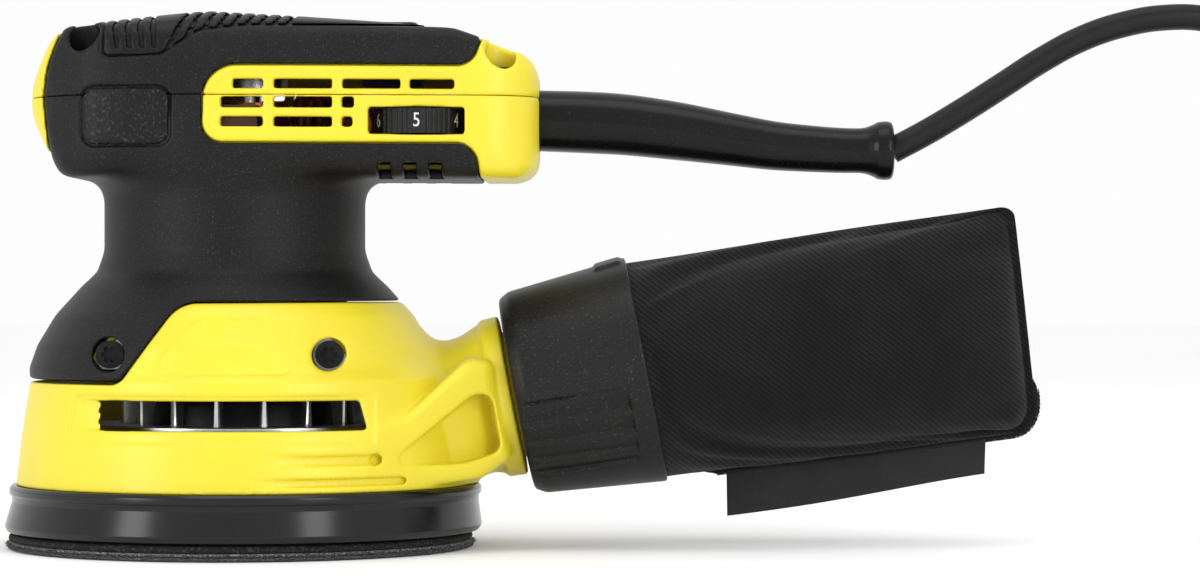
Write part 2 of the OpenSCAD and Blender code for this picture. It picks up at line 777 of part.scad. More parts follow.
pad_top = 9;
pad_edge_z = 3.7;
module dust_hole_cuts(r) {
    for (i = [0:dust_holes - 1]) rotate(360 * (i + 0.5) / dust_holes) translate([32.5, 0, -1]) cylinder(r = r, h = 20);
}
module pad_hub() {
    color(steel) translate([-orbit, 0, 0]) {
        translate([0, 0, pad_top]) difference() {
            cylinder(r = 21, h = 2);
            for (i = [0:3]) rotate(90 * i + 45) translate([15.5, 0, -1]) cylinder(r = 1.5, h = 5);
        }
        translate([0, 0, pad_top + 1]) cylinder(r = hub_r, h = rotor_bottom + 7.6 - pad_top - 1);
    }
}
module backing_pad() {
    edge = pad_d / 2 - 0.5;
    color([0.1, 0.1, 0.1]) translate([-orbit, 0, 0]) difference() {
        rotate_extrude($fn = 96) polygon([[0, disc_t + hook_t], [edge, disc_t + hook_t], [edge, pad_edge_z],
            [edge - 5.5, pad_edge_z], [edge - 16, pad_top], [0, pad_top]]);
        dust_hole_cuts(5);
        for (i = [0:3]) rotate(90 * i + 45) translate([15.5, 0, 0]) {
            cylinder(r = 1.7, h = 20);
            cylinder(r = 4, h = 6);
        }
    }
}
module hook_face() {
    color([0.2, 0.2, 0.2]) translate([-orbit, 0, disc_t]) difference() {
        cylinder(d = pad_d - 1, h = hook_t, $fn = 96);
        dust_hole_cuts(5);
        for (i = [0:3]) rotate(90 * i + 45) translate([15.5, 0, -1]) cylinder(r = 4, h = 6);
    }
}
module sanding_disc() {
    color([0.3, 0.28, 0.26]) translate([-orbit, 0, 0]) difference() {
        cylinder(d = pad_d, h = disc_t, $fn = 96);
        dust_hole_cuts(4.5);
    }
}
module pad_screws() {
    color(steel) translate([-orbit, 0, 0]) for (i = [0:3]) rotate(90 * i + 45) translate([15.5, 0, 6]) {
        translate([0, 0, -2.2]) difference() {
            cylinder(r = 3.4, h = 2.2);
            translate([0, 0, -1]) cylinder(r = 1.6, h = 2, $fn = 6);
        }
        translate([0, 0, -0.1]) cylinder(r = 1.5, h = pad_top + 2 - 6 + 0.1);
    }
}

// ---- Controls

module speed_dial() {
    color([0.08, 0.08, 0.08]) translate([dial_x, dial_y, dial_z]) difference() {
        cylinder(r = dial_r, h = dial_h);
        translate([0, 0, -1]) cylinder(r = 2.5, h = dial_h + 2);
        for (digit = [0:5], k = [-2:2]) rotate(60 * digit - 60 + 7.5 * k)
            translate([dial_r + 0.15, 0, -1]) cylinder(r = 0.7, h = dial_h + 2, $fn = 16);
    }
}
module switch_rocker() {
    color(black) translate([switch_x, 0, switch_top - 7]) {
        translate([-5.8, -5.8, 0]) cube([11.6, 11.6, 5]);
        translate([0, 3.5, 0]) rotate([90, 0, 0]) cylinder(r = 3.5, h = 7);
    }
}
module switch_boot() {
    outline = [[-3.7, -3.7, 3.5], [3.7, -3.7, 3.5], [3.7, 3.7, 3.5], [-3.7, 3.7, 3.5]];
    color([0.1, 0.1, 0.1]) translate([switch_x, 0, 0]) difference() {
        translate([0, 0, switch_top - 5.5]) linear_extrude(5.5) polygon(wrapped(outline));
        translate([-5.8, -5.8, switch_top - 7]) cube([11.6, 11.6, 5]);
    }
}

// ---- Bag and collar

collar_s = 1;
collar_l = 35.5;
sleeve_r = port_d / 2 + 0.35;
lug_r = port_d / 2 + 1.9;
module lock_collar() {
    small = collar_small_d / 2;
    large = collar_large_d / 2;
    color(black) at_port() difference() {
        union() {
            rotate_extrude($fn = 96) polygon([
                [small - 4.2, collar_s], [small - 1.8, collar_s], [small, collar_s + 2.5], [large, collar_s + collar_l],
                [large - 2, collar_s + collar_l], [small - 0.6, collar_s + 19.5], [sleeve_r, collar_s + 19.5],
                [sleeve_r, collar_s + 2.4], [lug_r + 2.2, collar_s + 2.4], [lug_r + 2.2, collar_s + 17],
                [small - 2.6, collar_s + 17], [small - 2.6, collar_s + 3.4], [small - 4.2, collar_s + 2]]);
        }
        // Bayonet track: straight in, then a third of a quarter turn round
        for (side = [-1, 1]) translate([-3.1, side > 0 ? 0 : -lug_r, 0]) cube([6.2, lug_r, lug_s + 4.6]);
        intersection() {
            translate([0, 0, lug_s - 0.5]) cylinder(r = lug_r, h = 5.1);
            for (side = [0, 180]) rotate(side) linear_extrude(40)
                polygon([[-3.1, 0], [-3.1, 30], [21, 30], [6, 2]]);
        }
    }
}
module bag_adapter() {
    outer = collar_small_d / 2 - 0.6 - gap;
    color([0.12, 0.12, 0.12]) at_port() difference() {
        union() {
            translate([0, 0, collar_s + 20]) cylinder(r = outer, h = 2.5);
            translate([0, 0, collar_s + 20]) difference() {
                cylinder(r = outer, h = 16);
                translate([0, 0, 2]) cylinder(r = outer - 1.8, h = 20);
            }
            translate([0, 0, collar_s + 20]) cylinder(r = port_d / 2, h = 15);
        }
        translate([0, 0, collar_s + 10]) cylinder(d = bore_d + 1, h = 30);
    }
}
module bag_seal() {
    color([0.3, 0.3, 0.3]) at_port() translate([0, 0, spigot_l + 0.2]) difference() {
        cylinder(d = port_d - 0.4, h = collar_s + 20 - spigot_l - 0.2);
        translate([0, 0, -1]) cylinder(d = bore_d + 1, h = 20);
    }
}
bag_s = collar_s + collar_l + 0.5;
bag_r = collar_large_d / 2 - 1.3;
bag_end_half = 10;
bag_droop = 8.5;
module dust_bag() {
    color([0.06, 0.06, 0.06]) at_port() hull() {
        translate([0, 0, bag_s]) cylinder(r = bag_r, h = 1, $fn = 48);
        for (side = [-1, 1]) translate([bag_droop + side * (bag_r - bag_end_half + 0.6), 0, bag_s + bag_l - bag_end_half])
            sphere(r = bag_end_half, $fn = 24);
    }
}
module bag_tag() {
    color([0.09, 0.09, 0.09]) at_port() translate([bag_r + 2, -0.35, bag_s + 16]) rotate([0, -2, 0]) cube([12, 0.7, 70]);
}

// ---- Cord: it leaves the boot, rises, comes down and lies coiled on the floor

coil_centre = [318, -8];
coil_lift = 1.2;
cord_route = [[173.5, 0, 106.1], [182, 0, 110.6], [192, 0, 116.5], [203, 0, 123.5], [214, 0, 130.6],
    [225, 0, 136.4], [236, 0, 140.1], [247, 0, 141.9], [258, 0.5, 141.6], [268.5, 1.2, 138.8], [278, 2.4, 133.2],
    [286, 4, 125.2], [291.8, 6.2, 115.6], [295.4, 8.7, 105], [297, 11.4, 94], [297.4, 14.4, 82],
    [297, 17.4, 70], [296.2, 19.4, 58.5], [295.2, 19.4, 47], [294.1, 15.6, 36], [293, 8.6, 27.4],
    [292.1, -1.2, 21.4]];
tail_route = [[341.5, -46.8, 5], [350.5, -40.3, 4], [360.5, -34.3, 3.7], [370, -28.6, 3.8], [378.5, -21.3, 4.8],
    [384.4, -11.1, 6.8], [386.5, 0, 8.5], [386.5, 2, 8.7]];
// The start of the cord follows the end of the boot, and its top and far end stay
cord_top_x = 258;
boot_shift = head_right + 94.4 - cord_route[0][0];
tied_route = [for (p = cord_route)
    [p[0] + boot_shift * max(0, (cord_top_x - p[0]) / (cord_top_x - cord_route[0][0])), p[1], p[2]]];
module cord() {
    color([0.13, 0.13, 0.13]) {
        swept(tied_route, [for (p = cord_route) cord_d / 2], 12);
        swept(tail_route, [for (p = tail_route) cord_d / 2], 12);
    }
}
coil_in = 27.5;
coil_out = 48.5;
coil_h = 21.3;
module cord_coil() {
    color([0.13, 0.13, 0.13]) translate([coil_centre[0], coil_centre[1], coil_lift]) rotate_extrude($fn = 48)
        polygon([[coil_in + 3, 0], [coil_out - 3, 0], [coil_out, 3], [coil_out, coil_h - 3], [coil_out - 3, coil_h],
            [coil_in + 3, coil_h], [coil_in, coil_h - 3], [coil_in, 3]]);
}
module cord_tie() {
    color([0.16, 0.16, 0.16]) translate([coil_centre[0], coil_centre[1], 0]) rotate(75) difference() {
        translate([coil_in - 1.6, -4, 0]) cube([coil_out - coil_in + 2.8, 8, coil_h + 2 * coil_lift]);
        translate([coil_in - 0.4, -5, coil_lift]) cube([coil_out - coil_in + 0.4, 10, coil_h]);
    }
}
plug_spot = [386.5, 2, 8.7];
module plug_body() {
    outline = [[-9, 0, 8.6], [9, 0, 8.6]];
    color(black) translate(plug_spot) rotate([-90, 0, 0]) difference() {
        union() {
            linear_extrude(2) polygon(wrapped([[-3, 0, 5], [3, 0, 5]]));
            translate([0, 0, 2]) linear_extrude(12) polygon(wrapped([[-5, 0, 7], [5, 0, 7]]));
            translate([0, 0, 14]) linear_extrude(26) polygon(wrapped(outline));
        }
        for (side = [-9.5, 9.5]) translate([side, 0, 36]) cylinder(r = 2.4, h = 10);
    }
}
module plug_pins() {
    color(brass) translate(plug_spot) rotate([-90, 0, 0]) for (side = [-9.5, 9.5])
        translate([side, 0, 36]) cylinder(r = 2.4, h = 22);
}

base_housing();
motor_housing();
lower_overmould();
top_cover();
top_overmould();
thumb_pad();
side_pads();
badge_plate();
housing_screws();
cover_screws();
dust_skirt();
bearing_plate();
lower_bearing();
upper_bearing();
stator_core();
field_coils();
brush_holders();
carbon_brushes();
brush_springs();
circuit_board();
capacitor();
choke();
dial_potentiometer();
switch_body();
cord_clamp();
clamp_screws();
strain_relief();
internal_leads();
shaft();
armature_core();
armature_windings();
commutator();
fan();
counterweight();
pad_bearing();
pad_hub();
backing_pad();
hook_face();
sanding_disc();
pad_screws();
speed_dial();
switch_rocker();
switch_boot();
bag_adapter();
bag_seal();
dust_bag();
bag_tag();
lock_collar();
cord();
cord_coil();
cord_tie();
plug_body();
plug_pins();
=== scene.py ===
import math

import bmesh
import bpy
import numpy as np
from mathutils import Matrix, Vector


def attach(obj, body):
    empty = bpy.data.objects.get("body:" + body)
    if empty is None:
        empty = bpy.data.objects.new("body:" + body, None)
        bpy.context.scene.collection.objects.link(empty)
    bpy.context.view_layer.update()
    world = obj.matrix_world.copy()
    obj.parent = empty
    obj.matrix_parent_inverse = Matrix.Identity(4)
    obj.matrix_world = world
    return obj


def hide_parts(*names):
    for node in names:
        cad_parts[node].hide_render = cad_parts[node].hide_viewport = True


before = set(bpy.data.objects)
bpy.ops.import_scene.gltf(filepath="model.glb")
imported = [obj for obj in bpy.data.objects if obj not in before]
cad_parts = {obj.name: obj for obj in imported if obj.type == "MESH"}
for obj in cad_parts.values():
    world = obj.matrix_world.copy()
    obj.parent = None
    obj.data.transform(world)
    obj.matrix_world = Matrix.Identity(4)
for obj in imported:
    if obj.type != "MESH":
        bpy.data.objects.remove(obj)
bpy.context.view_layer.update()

# %% [markdown]
# ## The camera
# The sander is seen level, from its left-hand side, about a metre away, so that the round base shows
# only a slight curve. A long lens with no shift does this, aimed at the middle of the sander and its bag.

# %% Camera
camera_data = bpy.data.cameras.new("camera")
camera_data.sensor_width = 36.0
view_width = 0.3228
view_distance = 1.0
camera_data.lens = camera_data.sensor_width * view_distance / view_width
camera = bpy.data.objects.new("camera", camera_data)
camera.location = (0.095, -view_distance, 0.0693)
camera.rotation_euler = (math.radians(90), 0, 0)
bpy.context.scene.collection.objects.link(camera)
bpy.context.scene.camera = camera
print("lens", round(camera_data.lens, 1), "mm")

# %% [markdown]
# ## Finishes
# Nearly every surface here is moulded plastic or rubber. What tells them apart is the grain that the
# mould leaves, how evenly it shines and how much its colour drifts. One helper builds them all: a
# shader whose colour wanders between two close tones, with a fine grain as bump and a slow change
# in roughness. Coordinates are in metres, so a grain of 0.4 mm is a noise scale of 1 / 0.0004.

# %% One helper for every finish
def node_at(tree, kind, **settings):
    made = tree.nodes.new(kind)
    for key, value in settings.items():
        if key in made.inputs:
            made.inputs[key].default_value = value
        else:
            setattr(made, key, value)
    return made


def finish(name, tone, other, rough, grain_mm=0.4, bump=0.15, patch_mm=12.0, metal=0.0, stretch=(1, 1, 1)):
    """A shader between two tones, with grain and a drifting roughness. Returns material, tree and shader."""
    material = bpy.data.materials.new(name)
    material.use_nodes = True
    tree = material.node_tree
    shader = tree.nodes["Principled BSDF"]
    shader.inputs["Metallic"].default_value = metal
    if max(tone) < 0.06:
        shader.inputs["Specular IOR Level"].default_value = 0.20
    place = node_at(tree, "ShaderNodeTexCoord")
    sized = node_at(tree, "ShaderNodeMapping")
    sized.inputs["Scale"].default_value = stretch
    tree.links.new(place.outputs["Object"], sized.inputs["Vector"])
    drift = node_at(tree, "ShaderNodeTexNoise", Scale=1000 / patch_mm, Detail=4.0)
    grain = node_at(tree, "ShaderNodeTexNoise", Scale=1000 / grain_mm, Detail=3.0)
    for texture in (drift, grain):
        tree.links.new(sized.outputs["Vector"], texture.inputs["Vector"])
    colour = node_at(tree, "ShaderNodeValToRGB")
    colour.color_ramp.elements[0].position = 0.35
    colour.color_ramp.elements[0].color = (*other, 1)
    colour.color_ramp.elements[1].position = 0.65
    colour.color_ramp.elements[1].color = (*tone, 1)
    tree.links.new(drift.outputs["Fac"], colour.inputs["Fac"])
    tree.links.new(colour.outputs["Color"], shader.inputs["Base Color"])
    shine = node_at(tree, "ShaderNodeMapRange")
    shine.inputs["To Min"].default_value = rough * 0.85
    shine.inputs["To Max"].default_value = min(1.0, rough * 1.15)
    tree.links.new(grain.outputs["Fac"], shine.inputs["Value"])
    tree.links.new(shine.outputs["Result"], shader.inputs["Roughness"])
    if bump:
        relief = node_at(tree, "ShaderNodeBump", Strength=bump, Distance=grain_mm / 4000)
        tree.links.new(grain.outputs["Fac"], relief.inputs["Height"])
        tree.links.new(relief.outputs["Normal"], shader.inputs["Normal"])
    return material, tree, shader


def speckled(name, tone, fleck, rough, grain_mm, bump, share=0.62):
    """A finish with small lighter flecks, as bare rubber and worn plastic have."""
    material, tree, shader = finish(name, tone, [c * 0.8 for c in tone], rough, grain_mm, bump)
    place = tree.nodes["Mapping"]
    dots = node_at(tree, "ShaderNodeTexNoise", Scale=1000 / (grain_mm * 1.3), Detail=1.0)
    tree.links.new(place.outputs["Vector"], dots.inputs["Vector"])
    pick = node_at(tree, "ShaderNodeMapRange")
    pick.inputs["From Min"].default_value = share
    pick.inputs["From Max"].default_value = share + 0.12
    tree.links.new(dots.outputs["Fac"], pick.inputs["Value"])
    mix = node_at(tree, "ShaderNodeMix", data_type="RGBA")
    tree.links.new(pick.outputs["Result"], mix.inputs["Factor"])
    tree.links.new(shader.inputs["Base Color"].links[0].from_socket, mix.inputs["A"])
    mix.inputs["B"].default_value = (*fleck, 1)
    tree.links.new(mix.outputs["Result"], shader.inputs["Base Color"])
    return material


def grey(value):
    return (value, value, value * 1.02)


yellow = finish("yellow_abs", (0.73, 0.61, 0.023), (0.69, 0.57, 0.020), 0.40, 0.35, 0.10, 30.0)[0]
skin_black = speckled("black_soft_skin", grey(0.0055), grey(0.030), 0.50, 0.32, 0.35)
pebble_black = speckled("black_pebbled_pad", grey(0.005), grey(0.028), 0.42, 0.75, 1.0, 0.58)
hard_black = speckled("black_moulded_plastic", grey(0.004), grey(0.016), 0.40, 0.3, 0.16)
cord_black = speckled("cord_rubber", grey(0.008), grey(0.02), 0.42, 0.28, 0.15)
relief_black = speckled("boot_rubber", grey(0.003), grey(0.014), 0.25, 0.3, 0.10)
skirt_black = speckled("skirt_rubber", grey(0.003), grey(0.010), 0.21, 0.5, 0.05, 0.66)
skirt_black.node_tree.nodes["Principled BSDF"].inputs["Specular IOR Level"].default_value = 0.34
foam_black = speckled("pad_foam", grey(0.010), grey(0.04), 0.85, 0.5, 0.9, 0.55)
dial_black = speckled("dial_plastic", grey(0.015), grey(0.05), 0.33, 0.3, 0.1)
# The screws' near-black steel also colours the fan cone, where it is painted shade between the blades
black_steel_and_painted_shade = finish("blackened_steel_and_painted_shade", grey(0.012), grey(0.006), 0.35, 0.3, 0.1, 3.0, metal=0.3)[0]
alloy = finish("cast_alloy", (0.78, 0.79, 0.8), (0.6, 0.6, 0.62), 0.3, 0.5, 0.15, 5.0, metal=1.0)[0]
steel = finish("ground_steel", (0.6, 0.6, 0.61), (0.5, 0.5, 0.52), 0.28, 0.2, 0.08, 4.0, metal=1.0)[0]
lamination = finish("lamination_stack", (0.3, 0.3, 0.31), (0.2, 0.19, 0.18), 0.42, 0.5, 0.5, 5.0, 1.0,
                    (0.1, 0.1, 1))[0]
copper = finish("enamelled_copper", (0.5, 0.13, 0.035), (0.32, 0.07, 0.02), 0.28, 0.6, 0.7, 4.0, 0.8,
                (0.2, 0.2, 1))[0]
brass = finish("brass_sheet", (0.75, 0.5, 0.18), (0.6, 0.38, 0.12), 0.3, 0.4, 0.1, 4.0, 1.0)[0]
carbon = finish("carbon_block", grey(0.03), grey(0.02), 0.6, 0.2, 0.3, 3.0)[0]
board_green = finish("circuit_board", (0.03, 0.12, 0.05), (0.02, 0.08, 0.035), 0.4, 0.8, 0.1, 6.0)[0]
red_case = finish("dipped_capacitor", (0.35, 0.05, 0.02), (0.25, 0.03, 0.015), 0.25, 0.6, 0.1, 5.0)[0]
lead_brown = finish("lead_jacket", (0.24, 0.085, 0.03), (0.15, 0.05, 0.02), 0.4, 0.4, 0.1, 5.0)[0]
phenolic = finish("phenolic_resin", (0.13, 0.045, 0.02), (0.08, 0.028, 0.014), 0.4, 0.5, 0.2, 4.0)[0]
print(len(bpy.data.materials), "materials so far")

# %% [markdown]
# ## The cord
# A mains lead is a round rubber jacket, stiff enough to hold a wide curve. It leaves the long boot
# rising, arches over and comes down to the floor beyond the bag, where the rest lies in a neat coil
# with a strap round it and the plug beside it. One curve with a bevel keeps its true length: the
# loose stretch is a list of points, and the coil is worked out turn by turn. Each layer is three rings
# of cord side by side, and each step from ring to ring happens at its own angle, so the cord never
# passes through itself.

# %% Cord route
mm = 0.001
cord_d = 7.0
cord_route = [(173.5, 0, 106.1), (182, 0, 110.6), (192, 0, 116.5), (203, 0, 123.5), (214, 0, 130.6),
              (225, 0, 136.4), (236, 0, 140.1), (247, 0, 141.9), (258, 0.5, 141.6), (268.5, 1.2, 138.8),
              (278, 2.4, 133.2), (286, 4, 125.2), (291.8, 6.2, 115.6), (295.4, 8.7, 105), (297, 11.4, 94),
              (297.4, 14.4, 82), (297, 17.4, 70), (296.2, 19.4, 58.5), (295.2, 19.4, 47), (294.1, 15.6, 36),
              (293, 8.6, 27.4), (292.1, -1.2, 21.4)]
tail_route = [(341.5, -46.8, 5), (350.5, -40.3, 4), (360.5, -34.3, 3.7), (370, -28.6, 3.8),
              (378.5, -21.3, 4.8), (384.4, -11.1, 6.8), (386.5, 0, 8.5), (386.5, 2, 8.7)]
coil_centre = (318.0, -8.0)
layer_z = (4.7, 11.8, 18.9)
ring_r = (31.0, 38.0, 45.0)
coil_start_r = 26.3
coil_first, coil_last = 195, 2430
# Each step: the angle where it starts and ends, the radius and the height after it
coil_steps = [(190, 320, ring_r[1], layer_z[2]), (450, 570, ring_r[2], layer_z[2]),
              (580, 680, ring_r[2], layer_z[1]), (900, 1020, ring_r[1], layer_z[1]),
              (1260, 1380, ring_r[0], layer_z[1]), (1560, 1680, ring_r[0], layer_z[0]),
              (1860, 1980, ring_r[1], layer_z[0]), (2220, 2340, ring_r[2], layer_z[0])]


def ease(t):
    t = min(max(t, 0.0), 1.0)
    return t * t * (3 - 2 * t)


def coil_point(angle):
    """Where the coiled cord is at an angle counted from the start of its first turn, in degrees."""
    radius, height = coil_start_r, layer_z[2]
    for start, end, next_radius, next_height in coil_steps:
        share = ease((angle - start) / (end - start))
        radius += (next_radius - radius) * share
        height += (next_height - height) * share
    a = math.radians(angle)
    return (coil_centre[0] + radius * math.cos(a), coil_centre[1] + radius * math.sin(a), height)


coil_points = [coil_point(angle) for angle in range(coil_first, coil_last + 1, 15)]
cord_points = [tuple(c * mm for c in p) for p in cord_route + coil_points + tail_route]


def curve_piece(name, points, radius, material, radii=None, sides=10):
    """A round tube along one smooth open spline."""
    data = bpy.data.curves.new(name, "CURVE")
    data.dimensions = "3D"
    data.bevel_depth = radius
    data.bevel_resolution = sides // 2 - 1
    data.use_fill_caps = True
    data.resolution_u = 6
    spline = data.splines.new("BEZIER")
    spline.bezier_points.add(len(points) - 1)
    for i, (knot, point) in enumerate(zip(spline.bezier_points, points)):
        knot.co = point
        knot.handle_left_type = knot.handle_right_type = "AUTO"
        knot.radius = radii[i] if radii else 1.0
    made = bpy.data.objects.new(name, data)
    data.materials.append(material)
    bpy.context.scene.collection.objects.link(made)
    return made


cord = curve_piece("mains_cord", cord_points, cord_d / 2 * mm, cord_black, sides=14)
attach(cord, "housing")
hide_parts("cord", "cord_coil")

# %% [markdown]
# ## The stage
# A plain pale floor and a soft studio: a bright sky all round, one wide softbox each side that the
# glossy skirt mirrors as two tall bands, and one overhead that shapes the top of the head.

# %% Floor and lights
floor_mesh = bpy.data.meshes.new("floor")
half_floor = 6.0
floor_mesh.from_pydata([(-half_floor, -half_floor, 0), (half_floor, -half_floor, 0),
                        (half_floor, half_floor, 0), (-half_floor, half_floor, 0)], [], [(0, 1, 2, 3)])
floor = bpy.data.objects.new("floor", floor_mesh)
floor.location.z = -0.0002
pale_floor = finish("pale_floor", (0.97, 0.97, 0.97), (0.96, 0.96, 0.96), 0.8, 2.0, 0.0, 200.0)[0]
floor_mesh.materials.append(pale_floor)
bpy.context.scene.collection.objects.link(floor)


def softbox(name, place, aim, width, height, watts):
    """A soft rectangular lamp at place, turned to face aim."""
    data = bpy.data.lights.new(name, "AREA")
    data.shape = "RECTANGLE"
    data.size, data.size_y = width, height
    data.energy = watts
    lamp = bpy.data.objects.new(name, data)
    lamp.location = place
    lamp.rotation_euler = (Vector(aim) - Vector(place)).to_track_quat("-Z", "Y").to_euler()
    bpy.context.scene.collection.objects.link(lamp)


softbox("left_softbox", (-0.85, -0.75, 0.35), (0, 0, 0.05), 0.30, 0.7, 4.0)
softbox("right_softbox", (0.75, -0.95, 0.4), (0.05, 0, 0.05), 0.30, 0.7, 4.0)
softbox("top_softbox", (0.05, -0.25, 1.2), (0.05, 0, 0.05), 0.9, 0.6, 3.0)
world = bpy.data.worlds.new("studio")
world.use_nodes = True
world.node_tree.nodes["Background"].inputs["Color"].default_value = (1, 1, 1, 1)
world.node_tree.nodes["Background"].inputs["Strength"].default_value = 0.985
bpy.context.scene.world = world
bpy.context.scene.view_settings.view_transform = "Standard"
print("studio ready")

# %% [markdown]
# ## Shapes from distance fields
# The housings are thin moulded shells full of soft edges: fillets where the neck meets the head, ribs
# that melt into walls, slots, shallow label fields. Boxes and bevels would need a great deal of patient
# topology. A distance field says the same things in one line each: every point in space knows how far
# it is from the surface, two bodies blend by a smooth minimum, and a shell is the outside less the same
# field shrunk. The field is then turned into a mesh with OpenVDB, which Blender carries with it.

# %% Outlines
import openvdb

field_step = 0.55


def rounded(corners, arc_step=9):
    """Closed outline through corners (u, v, radius), each one turned into an arc."""
    line = []
    for i, (u, v, radius) in enumerate(corners):
        here = np.array([u, v], float)
        back = np.array(corners[i - 1][:2]) - here
        ahead = np.array(corners[(i + 1) % len(corners)][:2]) - here
        back /= np.linalg.norm(back)
        ahead /= np.linalg.norm(ahead)
        half = math.acos(np.clip(back @ ahead, -1, 1)) / 2
        if radius == 0 or half > 1.56:
            line.append((u, v))
            continue
        middle = (back + ahead) / np.linalg.norm(back + ahead)
        centre = here + middle * radius / math.sin(half)
        start = here + back * radius / math.tan(half) - centre
        end = here + ahead * radius / math.tan(half) - centre
        a0 = math.atan2(start[1], start[0])
        sweep = (math.atan2(end[1], end[0]) - a0 + math.pi) % (2 * math.pi) - math.pi
        steps = max(2, math.ceil(abs(math.degrees(sweep)) / arc_step))
        for k in range(steps + 1):
            a = a0 + sweep * k / steps
            line.append((centre[0] + radius * math.cos(a), centre[1] + radius * math.sin(a)))
    return line


def wrapped(circles, arc_step=6):
    """Outline of a cord pulled tight round circles (u, v, radius) listed counter-clockwise."""
    def normal(a, b):
        reach = math.hypot(b[0] - a[0], b[1] - a[1])
        return math.atan2(b[1] - a[1], b[0] - a[0]) - math.acos((a[2] - b[2]) / reach)

    line = []
    for i, here in enumerate(circles):
        a0 = normal(circles[i - 1], here)
        sweep = (normal(here, circles[(i + 1) % len(circles)]) - a0) % (2 * math.pi)
        steps = max(1, math.ceil(math.degrees(sweep) / arc_step))
        for k in range(steps + 1):
            a = a0 + sweep * k / steps
            line.append((here[0] + here[2] * math.cos(a), here[1] + here[2] * math.sin(a)))
    return line


def outline_field(line, u, v):
    """Signed distance to a closed outline, negative inside, at the broadcast points u and v."""
    u, v = np.broadcast_arrays(np.asarray(u, np.float32), np.asarray(v, np.float32))
    nearest = np.full(u.shape, 1e9, np.float32)
    inside = np.zeros(u.shape, bool)
    for (au, av), (bu, bv) in zip(line, line[1:] + line[:1]):
        eu, ev = bu - au, bv - av
        length2 = eu * eu + ev * ev
        if length2 < 1e-12:
            continue
        t = np.clip(((u - au) * eu + (v - av) * ev) / length2, 0, 1)
        nearest = np.minimum(nearest, (u - au - eu * t) ** 2 + (v - av - ev * t) ** 2)
        if av != bv:
            inside ^= ((av > v) != (bv > v)) & (u < eu * (v - av) / ev + au)
    distance = np.sqrt(nearest)
    return np.where(inside, -distance, distance).astype(np.float32)


def turned_field(line, radius, z):
    """Distance field of an outline (r, z) turned about an axis; radius is the plan distance from it."""
    rings = np.arange(0, float(radius.max()) + 1, 0.2, dtype=np.float32)
    table = outline_field(line, rings[:, None], z.reshape(1, -1))
    flat = radius.reshape(-1)
    layers = [np.interp(flat, rings, table[:, k]) for k in range(table.shape[1])]
    shape = (radius.shape[0], radius.shape[1], table.shape[1])
    return np.stack(layers, axis=-1).astype(np.float32).reshape(shape)


# %% Joining, cutting and meshing fields
def join(a, b, k=0.6):
    """Both bodies, with a fillet of about k where they meet."""
    h = np.maximum(k - np.abs(a - b), 0) / k
    return np.minimum(a, b) - h * h * k / 4


def common(a, b, k=0.6):
    """What both bodies share, with edges eased by about k."""
    return -join(-a, -b, k)


def cut(a, b, k=0.6):
    """The first body less the second."""
    return common(a, -b, k)


def grid(low, high, step):
    axes = [np.arange(a - 3 * step, b + 3 * step, step, dtype=np.float32) for a, b in zip(low, high)]
    return axes[0][:, None, None], axes[1][None, :, None], axes[2][None, None, :]


def mesh_from_field(name, field, x, y, z, material, most=180000, placed=Matrix()):
    """Turns a field on a regular grid into a smooth-shaded object."""
    step = float(x[1, 0, 0] - x[0, 0, 0])
    volume = openvdb.FloatGrid(3 * step)
    volume.copyFromArray(np.ascontiguousarray(np.clip(field, -3 * step, 3 * step), np.float32))
    volume.transform = openvdb.createLinearTransform(voxelSize=step)
    points, triangles, quads = volume.convertToPolygons(isovalue=0.0, adaptivity=0.0)
    points = (points + np.array([x.min(), y.min(), z.min()])) * mm
    faces = [tuple(f) for f in quads[:, ::-1].tolist()] + [tuple(f) for f in triangles[:, ::-1].tolist()]
    mesh = bpy.data.meshes.new(name)
    mesh.from_pydata(points.tolist(), [], faces)
    shaped = bmesh.new()
    shaped.from_mesh(mesh)
    if shaped.calc_volume(signed=True) < 0:
        bmesh.ops.reverse_faces(shaped, faces=shaped.faces)
    bmesh.ops.triangulate(shaped, faces=shaped.faces)
    count = len(shaped.faces)
    shaped.to_mesh(mesh)
    shaped.free()
    made = bpy.data.objects.new(name, mesh)
    bpy.context.scene.collection.objects.link(made)
    if count > most:
        thin = made.modifiers.new("thin", "DECIMATE")
        thin.ratio = most / count
        bpy.context.view_layer.update()
        graph = bpy.context.evaluated_depsgraph_get()
        lighter = bpy.data.meshes.new_from_object(made.evaluated_get(graph))
        made.modifiers.clear()
        made.data = lighter
        lighter.name = name
    made.data.transform(placed)
    made.data.materials.clear()
    made.data.materials.append(material)
    made.data.shade_smooth()
    print(name, count, "->", len(made.data.polygons), "faces")
    return made


# %% [markdown]
# ## The body that every shell shares
# The head is what three outlines have in common: its side, its plan and its section. The neck is turned,
# with a dome that spreads to the foot, and it flows into the head with a fillet. The black skin, the
# yellow shell under it and the cover are all layers of this one body, so they fit each other exactly.

